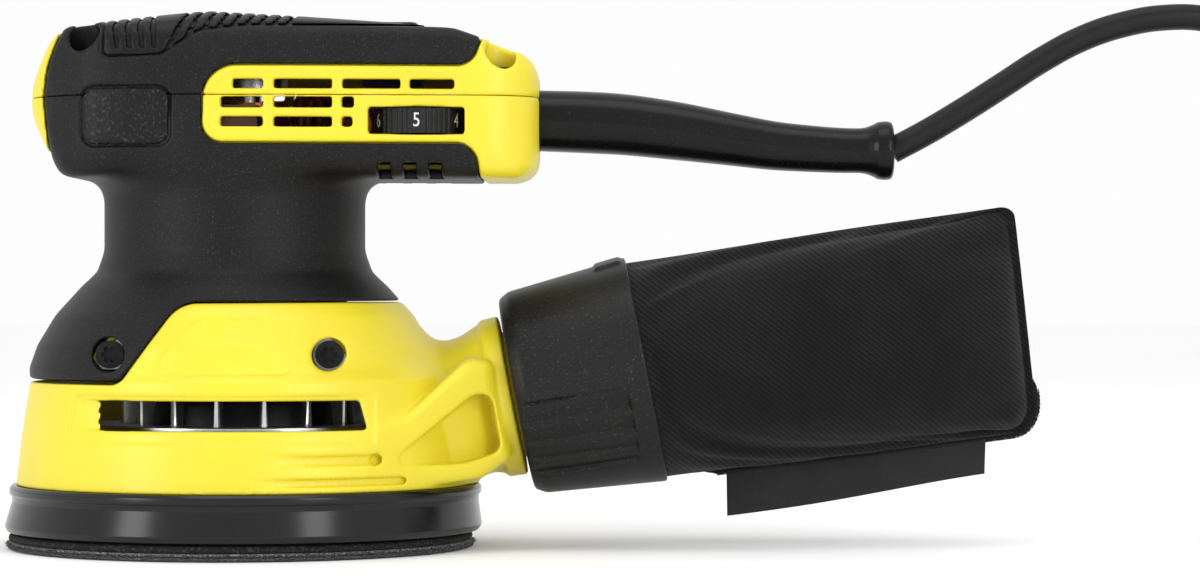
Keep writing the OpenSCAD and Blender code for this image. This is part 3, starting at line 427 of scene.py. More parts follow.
# %% The head and neck
skin, wall = 2.4, 1.6
head_z, split_z, base_z = 97.0, 119.5, 16.8
neck_x = -3.1
far = 300.0
head_side = wrapped([(-43, 103.2, 5.6), (71.5, 104.6, 7.6), (71, 123.5, 8.1), (52.1, 121, 17), (-8, 123, 20),
                     (-40, 125, 13.5), (-45, 119, 12.2)])
head_plan = wrapped([(-23.4, 0, 35.5), (5, -2, 35), (61.8, -12, 19), (61.8, 12, 19), (5, 2, 35)])
head_section = wrapped([(-22, 110.3, 15), (22, 110.3, 15), (17, 124.7, 20), (-17, 124.7, 20)])
neck_line = rounded([(0, 40, 0), (54.6, 44.5, 1.5), (54.7, 48, 3), (52.6, 54, 6), (47.8, 62, 12), (41, 69.5, 6),
                     (36.8, 73.5, 5), (34.9, 79, 8), (34.9, 112, 0), (0, 112, 0)])
base_line = rounded([(0, 10, 0), (61.3, 10, 0), (61.3, base_z, 0), (59.8, 29.8, 8), (57.4, 45.2, 1.2),
                     (50, 52, 0), (0, 52, 0)])


def head_field(x, y, z):
    side = outline_field(head_side, x, z)
    plan = outline_field(head_plan, x, y)
    section = outline_field(head_section, y, z)
    return common(common(side, plan, 4.0), section, 6.0)


def neck_field(x, y, z):
    return turned_field(neck_line, np.hypot(x - neck_x, y), z)


def upper_body(x, y, z):
    return join(head_field(x, y, z), neck_field(x, y, z), 7.0)


# Where the yellow shows: everything under this line, the two end caps and the vent panel
below_line = rounded([(-far, -10, 0), (far, -10, 0), (far, 66, 0), (40, 65.6, 0), (-13.2, 65.3, 9),
                      (-28.2, 44.4, 4.5), (-far, 44.8, 0)])
left_cap = rounded([(-far, 150, 0), (-43, 147, 0), (-46.8, 135.4, 12), (-50.4, 127, 14), (-51.5, 119, 14),
                    (-49.5, 101.5, 14), (-47.5, 90, 0), (-far, 90, 0)])
port_end = rounded([(64.6, 152, 0), (63.8, 134, 2), (61.6, 127.3, 5.5), (55, 127.3, 0), (55, 107.1, 0),
                    (62.6, 107.1, 6), (64.2, 90, 0), (far, 90, 0), (far, 152, 0)])
vent_panel = wrapped([(-2.9, 112.5, 5.5), (59.1, 109, 2), (59.1, 125.3, 2), (0.6, 118.3, 9)])


def yellow_zone(x, z):
    zones = [outline_field(line, x, z) for line in (left_cap, port_end, vent_panel)]
    return np.minimum(np.minimum(zones[0], zones[1]), zones[2])


# %% Openings in the head
slots = [(-0.5, 7.5, 24.1, 26.6), (10.2, 25.3, 24.1, 26.6), (27.9, 43, 24.1, 26.6), (45.4, 57, 24.1, 26.6),
         (-3.6, 7.5, 19.1, 21.9), (10.2, 25.3, 19.1, 21.9), (27.8, 31, 19.1, 21.9),
         (-3.6, 7.5, 14.1, 16.8), (10.2, 25.3, 14.1, 16.8), (27.8, 30.6, 14.1, 16.8)]
dial_x, dial_y, dial_r, dial_low, dial_high = 47.2, -20.625, 11.75, 109.6, 116.1
switch_x, switch_top = 39.5, 140.609
cover_spots = [(-39.6, 22, 128.5), (68.8, 21, 124.5)]


def box_outline(u0, u1, v0, v1, r):
    return rounded([(u0, v0, r), (u1, v0, r), (u1, v1, r), (u0, v1, r)])


def slot_field(x, y, z):
    """All the slots of the vent panel, the dial's window and its pocket."""
    cuts = np.full((x.size, 1, z.size), 99, np.float32)
    for x0, x1, z0, z1 in slots:
        cuts = np.minimum(cuts, outline_field(box_outline(x0, x1, head_z + z0, head_z + z1, 0.4), x, z))
    window_line = box_outline(dial_x - 12.6, dial_x + 12.5, dial_low - 0.3, dial_high + 0.3, 0.7)
    window = outline_field(window_line, x, z)
    window = np.maximum(window, y + 5)
    return np.minimum(cuts, window)


def under_vent_field(x, y, z):
    """Three short slots under the head, front and back."""
    cuts = np.full((x.size, 1, 1), 99, np.float32)
    for start in (37, 43.7, 50.4):
        cuts = np.minimum(cuts, np.abs(x - start - 1.65) - 1.65)
    return np.maximum(np.maximum(cuts, z - head_z - 5.0), 20 - np.abs(y))


def screw_well(x, y, z, radius, gap=0.0):
    """Wells over the cover screws, from each seat upwards."""
    wells = None
    for cx, cy, seat in cover_spots:
        well = np.maximum(np.hypot(x - cx, np.abs(y) - cy) - radius, seat - gap - z)
        wells = well if wells is None else np.minimum(wells, well)
    return wells


boot_line = box_outline(-8.05, 8.05, -8.05, 8.05, 4.2)
print("head outlines ready")

# %% [markdown]
# ## The black skin
# The grip is covered with a soft rubber that is moulded over the yellow shell, 2.4 mm thick. It stops at
# the end caps, at the vent panel and along the curved line above the base, with an eased edge and a hair
# of shadow all round. Two pieces lie below and above the parting line of the housing.

# %% Black skin, lower and upper
seam = 0.16


def place_on_housing(piece, slot_name, *nodes):
    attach(piece, "housing")
    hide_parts(*nodes)
    return piece


thumb_line = rounded([(-34.4, 129.5, 1.6), (-19.4, 130.0, 3), (-9.5, 136.6, 8), (3, 137.9, 20), (56, 137.9, 0),
                      (56, 152, 0), (-34.4, 152, 0)])
pad_line = wrapped([(-36.7, 109.6, 3.5), (-20.1, 109.6, 3.5), (-20.1, 118.2, 3.5), (-36.7, 118.2, 3.5)])
housing_screw_x = (-31.4, 25.2)
housing_screw_z = 52.0
screw_well_r = 4.2


def side_well(x, y, z, at):
    """The well over a pair of housing screws, front and back."""
    return np.maximum(np.hypot(x - at, z - housing_screw_z) - screw_well_r, 39.7 - np.abs(y))


pad_depth = 0.9


def pad_seat(x, y, z, body):
    """Shallow seats in the skin for the side patches, which leave a floor of skin under them."""
    seat = np.maximum(outline_field(pad_line, x, z) - 0.15, 20 - np.abs(y))
    return np.maximum(seat, -(body + pad_depth))


def scoops(x, y, z):
    """Hollows beside the cover screws, open to the flanks, that let a screwdriver in."""
    hollows = None
    for cx, cy, seat in cover_spots:
        past = (np.abs(y) - cy) * 0.80 + (z - seat - 1.5) * 0.60
        aside = np.hypot(x - cx, (np.abs(y) - cy) * 0.60 - (z - seat - 1.5) * 0.80)
        hollow = np.hypot(aside, np.minimum(past, 0)) - 4.1
        hollows = hollow if hollows is None else np.minimum(hollows, hollow)
    return hollows


def build_lower_skin():
    x, y, z = grid((-58.5, -58.5, 44), (80, 58.5, split_z), field_step)
    body = upper_body(x, y, z)
    shell = np.maximum(body, -(body + skin))
    edge = np.minimum(yellow_zone(x, z), outline_field(below_line, x, z)) - seam
    shell = cut(shell, edge, 0.9)
    shell = common(shell, z - (split_z - 0.06), 0.5)
    shell = cut(shell, under_vent_field(x, y, z), 0.6)
    shell = cut(shell, pad_seat(x, y, z, body), 0.5)
    lining = np.maximum(np.hypot(x - housing_screw_x[0], z - housing_screw_z) - 5.2, 39.0 - np.abs(y))
    shell = np.minimum(shell, np.maximum(lining, body + 0.1))
    shell = cut(shell, side_well(x, y, z, housing_screw_x[0]), 1.0)
    lip = np.maximum(np.maximum(body + 0.4, -(body + 6)), np.maximum(z - 48, x + 20))
    lip = np.maximum(lip, 0.05 - edge)
    shell = np.minimum(shell, lip)
    shell = cut(shell, side_well(x, y, z, housing_screw_x[0]), 1.0)
    foot = common(shell, 44.75 - z, 1.3)
    return mesh_from_field("lower_skin", foot, x, y, z, skin_black)


def build_upper_skin():
    x, y, z = grid((-58.5, -38.5, split_z - 1), (80, 38.5, 145), field_step)
    body = head_field(x, y, z)
    shell = np.maximum(body, -(body + skin))
    shell = cut(shell, yellow_zone(x, z) - seam, 0.9)
    shell = cut(shell, np.maximum(outline_field(thumb_line, x, z) - seam, -(body + pad_depth)), 0.9)
    shell = common(shell, split_z + 0.06 - z, 0.5)
    shell = cut(shell, pad_seat(x, y, z, body), 0.5)
    lining = screw_well(x, y, z, 5.2, 1.0)
    shell = np.minimum(shell, np.maximum(np.maximum(lining, body + 0.1), x - 20))
    shell = cut(shell, screw_well(x, y, z, 4.2), 1.0)
    shell = cut(shell, scoops(x, y, z), 1.2)
    shell = np.maximum(shell, -outline_field(boot_line, x - switch_x, y))
    return mesh_from_field("upper_skin", shell, x, y, z, skin_black)


lower_skin = place_on_housing(build_lower_skin(), "black_skin", "lower_overmould")
upper_skin = place_on_housing(build_upper_skin(), "black_skin", "top_overmould")

# %% [markdown]
# ## The yellow shell of head and neck
# Under the skin is a stiff yellow shell. It comes to the surface at both ends of the head and in the vent
# panel, whose rim stands a little proud, with rows of slots that let the motor breathe and a window for
# the speed dial. The cover closes it from above along the parting line.

# %% Yellow shells
panel_rim = wrapped([(-1.4, 113.8, 4.6), (56.8, 110.8, 1.4), (56.8, 123.6, 1.4), (1.6, 117.4, 7.8)])


def yellow_shell(x, z, body):
    zone = yellow_zone(x, z) + seam
    proud = common(body, zone, 1.1)
    # A shallow field inside the vent panel leaves its rim standing
    hollow = np.maximum(outline_field(panel_rim, x, z), -(body + 0.35))
    proud = cut(proud, hollow, 0.4)
    shell = np.minimum(body + skin, proud)
    return np.maximum(shell, -(body + skin + wall))


def build_motor_shell():
    x, y, z = grid((-58.5, -57.5, 45), (80, 57.5, split_z), field_step)
    body = upper_body(x, y, z)
    shell = yellow_shell(x, z, body)
    shell = common(shell, z - (split_z - 0.06), 0.5)
    shell = np.maximum(shell, 46.2 - z)
    shell = np.maximum(shell, -(outline_field(below_line, x, z) - 0.2))
    shell = cut(shell, slot_field(x, y, z), 0.5)
    dial_room = np.maximum(np.hypot(x - dial_x, y - dial_y) - dial_r - 1, np.abs(z - 112.85) - 3.6)
    shell = cut(shell, dial_room, 0.4)
    shell = np.maximum(shell, -(under_vent_field(x, y, z) - 2.6))
    shell = cut(shell, np.maximum(np.hypot(y, z - 114.1) - 8.3, 70 - x), 0.8)
    shell = np.maximum(shell, -(side_well(x, y, z, housing_screw_x[0]) - 1.2))
    return mesh_from_field("motor_shell", shell, x, y, z, yellow)


def build_cover_shell():
    x, y, z = grid((-58.5, -38.5, split_z - 1), (80, 38.5, 145), field_step)
    body = head_field(x, y, z)
    shell = yellow_shell(x, z, body)
    for cx, cy, seat in cover_spots:
        tube = np.maximum(np.hypot(x - cx, np.abs(y) - cy) - 5.8, seat - 4 - z)
        shell = np.minimum(shell, np.maximum(tube, body + 0.2))
    shell = common(shell, split_z + 0.06 - z, 0.5)
    shell = cut(shell, slot_field(x, y, z), 0.5)
    shell = cut(shell, np.maximum(np.hypot(y, z - 114.1) - 8.3, 70 - x), 0.8)
    shell = cut(shell, screw_well(x, y, z, 4.2), 1.2)
    shell = cut(shell, scoops(x, y, z), 1.2)
    shell = np.maximum(shell, -np.maximum(screw_well(x, y, z, 5.3, 1.0), x))
    shell = np.maximum(shell, -np.maximum(outline_field(boot_line, x - switch_x, y), 120 - z))
    return mesh_from_field("cover_shell", shell, x, y, z, yellow)


motor_shell = place_on_housing(build_motor_shell(), "yellow_plastic", "motor_housing")
cover_shell = place_on_housing(build_cover_shell(), "yellow_plastic", "top_cover")

# %% [markdown]
# ## Thumb pad, side pads and badge
# The thumb rests on a separate insert along the top, with slanting grooves for grip. A pebbled patch lies
# on each side of the head for the fingers, and a small plain badge closes the place on top where a maker
# would put a mark.

# %% Inserts
groove_pitch = 3.5


def build_thumb_pad():
    x, y, z = grid((-40, -34, 130), (57, 34, 144.5), field_step)
    body = head_field(x, y, z)
    pad = np.maximum(body, -(body + pad_depth - 0.05))
    pad = common(pad, outline_field(thumb_line, x, z) + 0.05, 0.7)
    for i in range(3, 12):
        line = np.abs(x + 25.4 - groove_pitch * i - (z - 137) * 0.45) - 0.55
        pad = cut(pad, np.maximum(line, -(body + 0.62)), 0.4)
    for i in range(4):
        line = np.abs(x + 31 - 3.3 * i + (z - 134) * 0.15) - 0.45
        pad = cut(pad, np.maximum(np.maximum(line, -(body + 0.6)), 131.6 - z), 0.5)
    pad = np.maximum(pad, -(outline_field(boot_line, x - switch_x, y) - 0.1))
    badge_hole = outline_field(box_outline(15.1, 25.7, -8.3, 8.3, 1.6), x, y)
    pad = cut(pad, badge_hole, 0.4)
    pad = cut(pad, screw_well(x, y, z, 4.2), 1.0)
    pad = cut(pad, scoops(x, y, z), 1.0)
    return mesh_from_field("thumb_insert", pad, x, y, z, hard_black)


def build_side_pads():
    x, y, z = grid((-41, -38, 105), (-16, 38, 122.5), field_step)
    body = head_field(x, y, z)
    pads = np.maximum(body - 0.2, -(body + pad_depth - 0.05))
    pads = common(pads, np.maximum(outline_field(pad_line, x, z), 20 - np.abs(y)), 1.8)
    return mesh_from_field("side_patches", pads, x, y, z, pebble_black)


def build_badge():
    x, y, z = grid((15, -8.5, 138), (26, 8.5, 143.5), field_step / 2)
    body = head_field(x, y, z)
    plate = np.maximum(body + 0.5, -(body + skin))
    plate = common(plate, outline_field(box_outline(15.4, 25.4, -8, 8, 1.5), x, y), 0.5)
    return mesh_from_field("badge", plate, x, y, z, hard_black)


thumb_insert = place_on_housing(build_thumb_pad(), "black_plastic", "thumb_pad")
side_patches = place_on_housing(build_side_pads(), "black_skin", "side_pads")
badge = place_on_housing(build_badge(), "black_plastic", "badge_plate")

# %% [markdown]
# ## The base housing
# The yellow base holds the fan chamber and the dust duct. Its wall is a low turned form with wide fan
# slots front and back. On the bag side a duct runs out to the round port, with flat stiffening plates on
# both flanks that are pocketed to save plastic. A broad fillet makes the saddle between dome and port.

# %% Base housing
port_origin = np.array([71.6, 0.0, 40.4])
port_tilt = math.radians(11)
port_axis = np.array([math.cos(port_tilt), 0.0, math.sin(port_tilt)])
port_frame = Matrix.Translation(Vector(port_origin) * mm) @ Matrix.Rotation(math.radians(90 - 11), 4, "Y")

plate_line = rounded([(34, 17.2, 2), (34, 31.5, 6), (45, 36.6, 10), (60.2, 50.8, 4.5), (66.6, 50.2, 3),
                      (71.9, 24.6, 3), (64, 19.2, 8), (48, 17.2, 10)])
pocket_line = rounded([(40.6, 23.6, 1.7), (63, 41.8, 4.2), (66.2, 40, 3), (68.6, 26.6, 2.6), (60, 23.6, 20)])
slot_line = rounded([(-32.3, 32.7, 0.5), (35.3, 32.7, 0.8), (33.2, 40.3, 0.8), (-30.7, 40.3, 0.5)])
bevel_line = rounded([(-40.2, 32.7, 0.8), (-25, 32.7, 0.5), (-25, 40.3, 0.5), (-38.6, 40.3, 0.8)])
slot_frame = rounded([(-43.0, 29.6, 2.5), (60, 29.6, 0), (60, 41.6, 0), (-40.4, 41.6, 2.5)])
label_line = wrapped([(-15.6, 49.4, 2.6), (14.3, 49.2, 2.2), (14.3, 58.9, 2.2), (-6.5, 55.4, 5.7)])


def flank(x):
    """Half width of the stiffening plates, which leave the round wall as a tangent."""
    return 47.4 - 0.765 * (x - 36.4)


def build_base():
    x, y, z = grid((-62.5, -62.5, 16), (94, 62.5, 66.5), field_step)
    away = np.abs(y)
    low = turned_field(base_line, np.hypot(x, y), z)
    high = neck_field(x, y, z)
    wall_field = join(low, high, 2.0)
    inside = wall_field + 2.5
    # Distances along and from the port's axis
    dx, dz = x - port_origin[0], z - port_origin[2]
    along = dx * port_axis[0] + dz * port_axis[2]
    across = np.sqrt((dx * port_axis[2] - dz * port_axis[0]) ** 2 + y ** 2)
    duct_at, duct_radii = (-34, -24, -17, -11, -5, 0), (14.2, 14.6, 16.0, 18.2, 20.6, 21.2)
    duct_r = np.interp(along, duct_at, duct_radii).astype(np.float32)
    duct = np.maximum((across - duct_r) * 0.95, np.maximum(along + 0.8, 38 - x))
    body = join(wall_field, duct, 9.0)
    plate = common(outline_field(plate_line, x, z), (away - flank(x)) * 0.8, 3.0)
    pocket_floor = (away - flank(x) + 8.5) * 0.8
    pocket = np.maximum(outline_field(pocket_line, x, z), -pocket_floor)
    pocket = np.maximum(pocket, -(wall_field - 0.3))
    body = join(body, cut(plate, pocket, 1.2), 1.6)
    body = cut(body, pocket, 1.2)
    flange = common(across - 21.25, np.abs(along + 2.5) - 2.5, 0.8)
    spigot = common(across - 17, np.abs(along - 10) - 10, 0.8)
    body = np.minimum(join(body, flange, 1.5), spigot)
    lugs = np.maximum(np.maximum(across - 18.5, np.abs(dx * port_axis[2] - dz * port_axis[0]) - 2.5),
                      np.abs(along - 14) - 2)
    body = np.minimum(body, lugs)
    # Hollow inside, the duct's bore and the air slots
    body = np.maximum(body, -inside)
    bore = np.maximum(across - np.minimum(14.5, duct_r - 2.2), 42 - x)
    body = cut(body, bore, 0.8)
    body = cut(body, np.maximum(outline_field(slot_line, x, z), 20 - away), 0.5)
    bevel_depth = 0.9 + 1.5 * np.clip((x + 39.5) / 7, 0, 1)
    body = cut(body, np.maximum(outline_field(bevel_line, x, z), -(wall_field + bevel_depth)), 0.4)
    fade = np.clip((38 - x) / 10, 0, 1)
    shallow = np.maximum(outline_field(slot_frame, x, z), -(wall_field + 0.75 * fade))
    body = cut(body, np.maximum(shallow, x - 37), 0.8)
    body = cut(body, np.maximum(outline_field(label_line, x, z), -(wall_field + 0.5)), 0.25)
    for z_mid, half, start, end in ((25.1, 1.3, 11.4, 37.6), (19.5, 0.9, 8, 44)):
        depth = 1.3 * np.clip((x - start) / 12, 0, 1)
        bar = np.hypot(np.maximum(np.maximum(start - x, x - end), 0), z - z_mid) - half
        body = cut(body, np.maximum(bar, -(wall_field + depth)), 0.6)
    body = cut(body, np.maximum(np.hypot(x - 37.4, z - 25.1) - 1.45, -(wall_field + 2.0)), 0.4)
    for at in housing_screw_x[1:]:
        body = cut(body, side_well(x, y, z, at), 0.9)
    trim = outline_field(below_line, x, z) + seam
    body = common(body, trim, 0.9)
    body = np.maximum(body, base_z - z)
    return mesh_from_field("base_shell", body, x, y, z, yellow, 195000)


base_shell = place_on_housing(build_base(), "yellow_plastic", "base_housing")


# %% [markdown]
# ## Turned and swept pieces
# The rubber skirt, the foam pad and its disc are round, so an outline spun about the motor's axis gives
# them their true shape. The boot of the cord is a tube whose thickness changes on the way.

# %% Helpers for turned and swept pieces
def object_from(name, points, faces, material, smooth=True):
    mesh = bpy.data.meshes.new(name)
    mesh.from_pydata([tuple(p) for p in points], [], faces)
    mesh.materials.append(material)
    if smooth:
        mesh.shade_smooth()
    made = bpy.data.objects.new(name, mesh)
    bpy.context.scene.collection.objects.link(made)
    return made


def turned_piece(name, line, material, centre=(0, 0), sides=240, wobble=None):
    """Spins a closed outline [(r, z)] in millimetres about an upright axis."""
    count = len(line)
    points = []
    for s in range(sides):
        a = 2 * math.pi * s / sides
        for k, (r, z) in enumerate(line):
            extra = wobble(s, k, r, z) if wobble else 0.0
            points.append(((centre[0] + (r + extra) * math.cos(a)) * mm,
                           (centre[1] + (r + extra) * math.sin(a)) * mm, z * mm))
    faces = []
    for s in range(sides):
        ahead = (s + 1) % sides
        for k in range(count):
            nxt = (k + 1) % count
            faces.append((s * count + k, ahead * count + k, ahead * count + nxt, s * count + nxt))
    made = object_from(name, points, faces, material)
    made.data.set_sharp_from_angle(angle=math.radians(50))
    return made


def dense(points, times):
    """Points of a smooth curve through the given ones."""
    points = np.array(points, float)
    padded_points = np.vstack([2 * points[0] - points[1], points, 2 * points[-1] - points[-2]])
    out = []
    for i in range(1, len(padded_points) - 2):
        p0, p1, p2, p3 = padded_points[i - 1:i + 3]
        for k in range(times):
            t = k / times
            out.append(0.5 * (2 * p1 + (p2 - p0) * t + (2 * p0 - 5 * p1 + 4 * p2 - p3) * t ** 2
                              + (3 * p1 - p0 - 3 * p2 + p3) * t ** 3))
    out.append(points[-1])
    return np.array(out)


# %% Skirt
skirt_line = rounded([(60.1, 4.3, 0.4), (62.4, 4.3, 1.0), (63.2, 5.9, 1.2), (62.35, 12.6, 1.5), (62.5, 13.9, 0.5),
                      (63.1, 14.5, 0.6), (63.1, 15.9, 0.6), (62.4, 16.8, 0.5), (57.9, 16.8, 0), (57.9, 21.8, 0.5),
                      (56.0, 21.8, 0.5), (56.0, 14.8, 0.5), (60.1, 13.6, 0.5)])
skirt = turned_piece("skirt", skirt_line, skirt_black)
# Its lower rim bulges on the far side, where the rubber is pressed out
bulge, bulge_from_r = 1.2 * mm, 61.5 * mm
for vertex in skirt.data.vertices:
    radius = math.hypot(vertex.co.x, vertex.co.y)
    if radius > bulge_from_r:
        share = max(0.0, -vertex.co.x / radius)
        vertex.co.x -= bulge * share * (1 - ease((vertex.co.z / mm - 4.5) / 9))
place_on_housing(skirt, "skirt_rubber", "dust_skirt")
print("skirt", len(skirt.data.polygons), "faces")

# %% [markdown]
# ## Pad and disc
# The round pad is a foam cushion faced with tiny hooks, and the abrasive disc has a looped nap that grips
# them. At the rim the nap shows as a ragged fringe, so a ring of small tufts is planted there. Each tuft
# is a slim leaning pyramid; their lengths and leans come from a seeded random number.

# %% Pad, hooks, nap and disc
pad_centre = (-1.3, 0.0)
random_numbers = np.random.default_rng(12)
hole_spots = [(32.5 * math.cos(math.radians(45 * i + 22.5)), 32.5 * math.sin(math.radians(45 * i + 22.5)))
              for i in range(8)]


def round_layer(name, low, high, edge, hole_r, material, ease_r=0.3, wobble=0.0, step=0.5):
    """A round layer with the eight dust holes, as a field so that its rim and holes are eased."""
    step = step
    x, y, z = grid((pad_centre[0] - edge, -edge, low), (pad_centre[0] + edge, edge, high), step)
    radius = np.hypot(x - pad_centre[0], y)
    rim = radius - edge
    if wobble:
        angle = np.arctan2(y, x - pad_centre[0])
        ripple = sum(np.sin(angle * n + p) for n, p in ((37, 0.4), (61, 2.0), (97, 4.1), (143, 1.2)))
        rim = rim + wobble * ripple / 2.5
    layer = common(rim, np.maximum(low - z, z - high), ease_r)
    for hx, hy in hole_spots:
        layer = cut(layer, np.hypot(x - pad_centre[0] - hx, y - hy) - hole_r, 0.3)
    made = mesh_from_field(name, layer, x, y, z, material, 120000)
    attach(made, "pad")
    return made


foam_line = rounded([(0, 1.95, 0), (62, 1.95, 0.5), (62, 3.8, 1.2), (56.5, 4.6, 3), (46, 9, 1), (0, 9, 0)])


def build_foam():
    x, y, z = grid((-63.5, -62.2, 1.9), (61, 62.2, 9), field_step)
    radius = np.hypot(x - pad_centre[0], y)
    foam = turned_field(foam_line, radius, z)
    for hx, hy in hole_spots:
        foam = cut(foam, np.hypot(x - pad_centre[0] - hx, y - hy) - 5, 0.3)
    for i in range(4):
        a = math.radians(90 * i + 45)
        sx, sy = pad_centre[0] + 15.5 * math.cos(a), 15.5 * math.sin(a)
        foam = cut(foam, np.hypot(x - sx, y - sy) - 1.7, 0.3)
        foam = cut(foam, np.maximum(np.hypot(x - sx, y - sy) - 4, z - 6), 0.3)
    made = mesh_from_field("foam_pad", foam, x, y, z, foam_black, 120000)
    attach(made, "pad")
    return made


def build_tufts(count=2600):
    points, faces = [], []
    for i in range(count):
        a = 2 * math.pi * (i + random_numbers.random()) / count
        reach = 62.1 + 0.35 * random_numbers.random()
        tall = 0.25 + 0.95 * random_numbers.random() ** 2
        height = 0.75 + 0.85 * random_numbers.random()
        lean = 0.9 * (random_numbers.random() - 0.5)
        out = np.array([math.cos(a), math.sin(a), 0])
        side = np.array([-math.sin(a), math.cos(a), 0])
        root = np.array([pad_centre[0], pad_centre[1], height]) + out * (reach - 0.9)
        rise = 0.5 * (random_numbers.random() - 0.6)
        tip = root + out * (0.75 + tall) + side * lean + np.array([0, 0, rise])
        first = len(points)
        for u, v in ((-1, -1), (1, -1), (0, 1.2)):
            points.append((root + side * u * 0.11 + np.array([0, 0, v * 0.12])) * mm)
        points.append(tip * mm)
        left, right, back, top = first, first + 1, first + 2, first + 3
        faces += [(left, back, right), (left, right, top), (right, back, top), (back, left, top)]
    made = object_from("nap_fringe", points, faces, nap_grey, smooth=False)
    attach(made, "pad")
    return made


nap_grey = speckled("nap_fibre", grey(0.045), grey(0.25), 0.8, 0.25, 0.6, 0.5)
paper_edge = speckled("abrasive_paper", grey(0.02), grey(0.14), 0.75, 0.22, 0.8, 0.5)
foam_pad = build_foam()
hooks = round_layer("hook_layer", 1.0, 2.0, 62.0, 5.0, nap_grey, 0.5, 0.18)
disc = round_layer("abrasive_disc", 0.0, 1.0, 62.3, 4.5, paper_edge, 0.25, 0.10)
fringe = build_tufts()
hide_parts("backing_pad")
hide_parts("hook_face")
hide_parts("sanding_disc")
print("pad pieces made")

# %% [markdown]
# ## The boot of the cord
# A long tapered boot of soft, shiny rubber stops the cord from being bent sharply where it enters the
# head. It has a fine line along each side, where the two halves of its mould met, and ends in a lip.

# %% Boot of the cord
boot_path = [(79.0, 114.1, 8.2), (91.1, 113.7, 8.3), (102.4, 113.0, 8.2), (116.1, 111.3, 7.8), (129.8, 109.2, 7.1),
             (141.1, 107.5, 6.6), (150.4, 106.7, 6.3), (159.1, 106.2, 6.1), (165.3, 106.1, 6.1), (168.1, 106.1, 6.9),
             (169.8, 106.1, 7.7), (172.0, 106.1, 7.9), (173.3, 106.1, 7.5), (173.8, 106.1, 6.4), (173.8, 106.1, 3.2)]


def build_boot(sides=72):
    line = dense(boot_path[:-1], 5).tolist() + [list(boot_path[-1])]
    line = [[71.2, 114.1, 8.2]] + line
    points, faces = [], []
    for i, (x, z, r) in enumerate(line):
        before, after = line[max(i - 1, 0)], line[min(i + 1, len(line) - 1)]
        slope = math.atan2(after[1] - before[1], max(after[0] - before[0], 0.2)) if i < len(line) - 3 else 0.0
        for k in range(sides):
            a = 2 * math.pi * k / sides
            rr = r + 0.14 * math.exp(-((abs(math.cos(a)) - 1) / 0.0012) ** 2)
            up = rr * math.sin(a)
            spot = (x - up * math.sin(slope), rr * math.cos(a), z + up * math.cos(slope))
            points.append(tuple(c * mm for c in spot))
    for i in range(len(line) - 1):
        for k in range(sides):
            n = (k + 1) % sides
            faces.append((i * sides + k, i * sides + n, (i + 1) * sides + n, (i + 1) * sides + k))
    faces.append(tuple(range(sides))[::-1])
    faces.append(tuple((len(line) - 1) * sides + k for k in range(sides)))
    made = object_from("cord_boot", points, faces, relief_black)
    made.data.set_sharp_from_angle(angle=math.radians(50))
    return made


cord_boot = place_on_housing(build_boot(), "cord_rubber", "strain_relief")
print("boot", len(cord_boot.data.polygons), "faces")

# %% [markdown]
# ## Collar
# The bag hangs on a twist collar, a cone of tough plastic with a rounded nose. Thumb and finger turn it by
# two sunken grips, each with four ridges that are steep on one side, like the teeth of a saw.

# %% Collar
collar_line = rounded([(23.3, 1.0, 0.8), (25.8, 1.0, 1.6), (27.5, 4.0, 3.5), (30.6, 36.5, 0.6), (28.6, 36.5, 0.4),
                       (26.9, 20.5, 0), (17.35, 20.5, 0.3), (17.35, 3.4, 0.3), (21.1, 3.4, 0), (21.1, 18.0, 0),
                       (24.9, 18.0, 0), (24.9, 4.4, 0.5), (23.3, 3.0, 0.5)])


def build_collar():
    # x is down and z along the port's axis, so the near side of the sander is at -y
    x, y, z = grid((-31.5, -31.5, 1), (31.5, 31.5, 36.5), field_step)
    collar = turned_field(collar_line, np.hypot(x, y), z)
    cone = np.hypot(x, y) - (27.2 + 0.096 * (z - 1))
    angle = np.degrees(np.arctan2(x, np.abs(y)))
    side_edge = np.maximum(4.5 - angle + (z - 4) * 0.06, angle - 54.5 + (z - 4) * 0.16) * 0.49
    patch = common(side_edge, np.maximum(2.0 - z, z - 30.5), 2.5)
    tooth = ((angle - 5) / 12.1) % 1.0
    ridge = np.where(tooth < 0.16, tooth / 0.16, (1 - tooth) / 0.84)
    depth = 0.35 + 1.15 * (1 - ridge)
    collar = cut(collar, common(patch, -(cone + depth), 0.4), 0.5)
    # A raised tab shows where the collar locks
    tab = np.maximum(np.abs(y) - 9, np.abs(z - 31.5) - 3.6)
    tab = common(common(tab, cone - 0.7, 0.6), x + 20, 0.5)
    collar = join(collar, np.maximum(tab, -cone - 1), 0.4)
    made = mesh_from_field("twist_collar", collar, x, y, z, collar_black, placed=port_frame)
    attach(made, "collar")
    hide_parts("lock_collar")
    return made


collar_black = speckled("collar_plastic", grey(0.010), grey(0.035), 0.40, 0.45, 0.22)
twist_collar = build_collar()

# %% [markdown]
# ## Dust bag
# The bag is black cotton twill, sewn flat across its far end and along its underside. It starts round in
# the collar and ends as an upright seam, so it is lofted as rings that narrow along the port's axis. Then
# the cloth is let go: Blender's Cloth swells it a little, as air does, while the rings at both ends stay
# put, and no point may move further than a few millimetres. Soft dents and creases come from that.

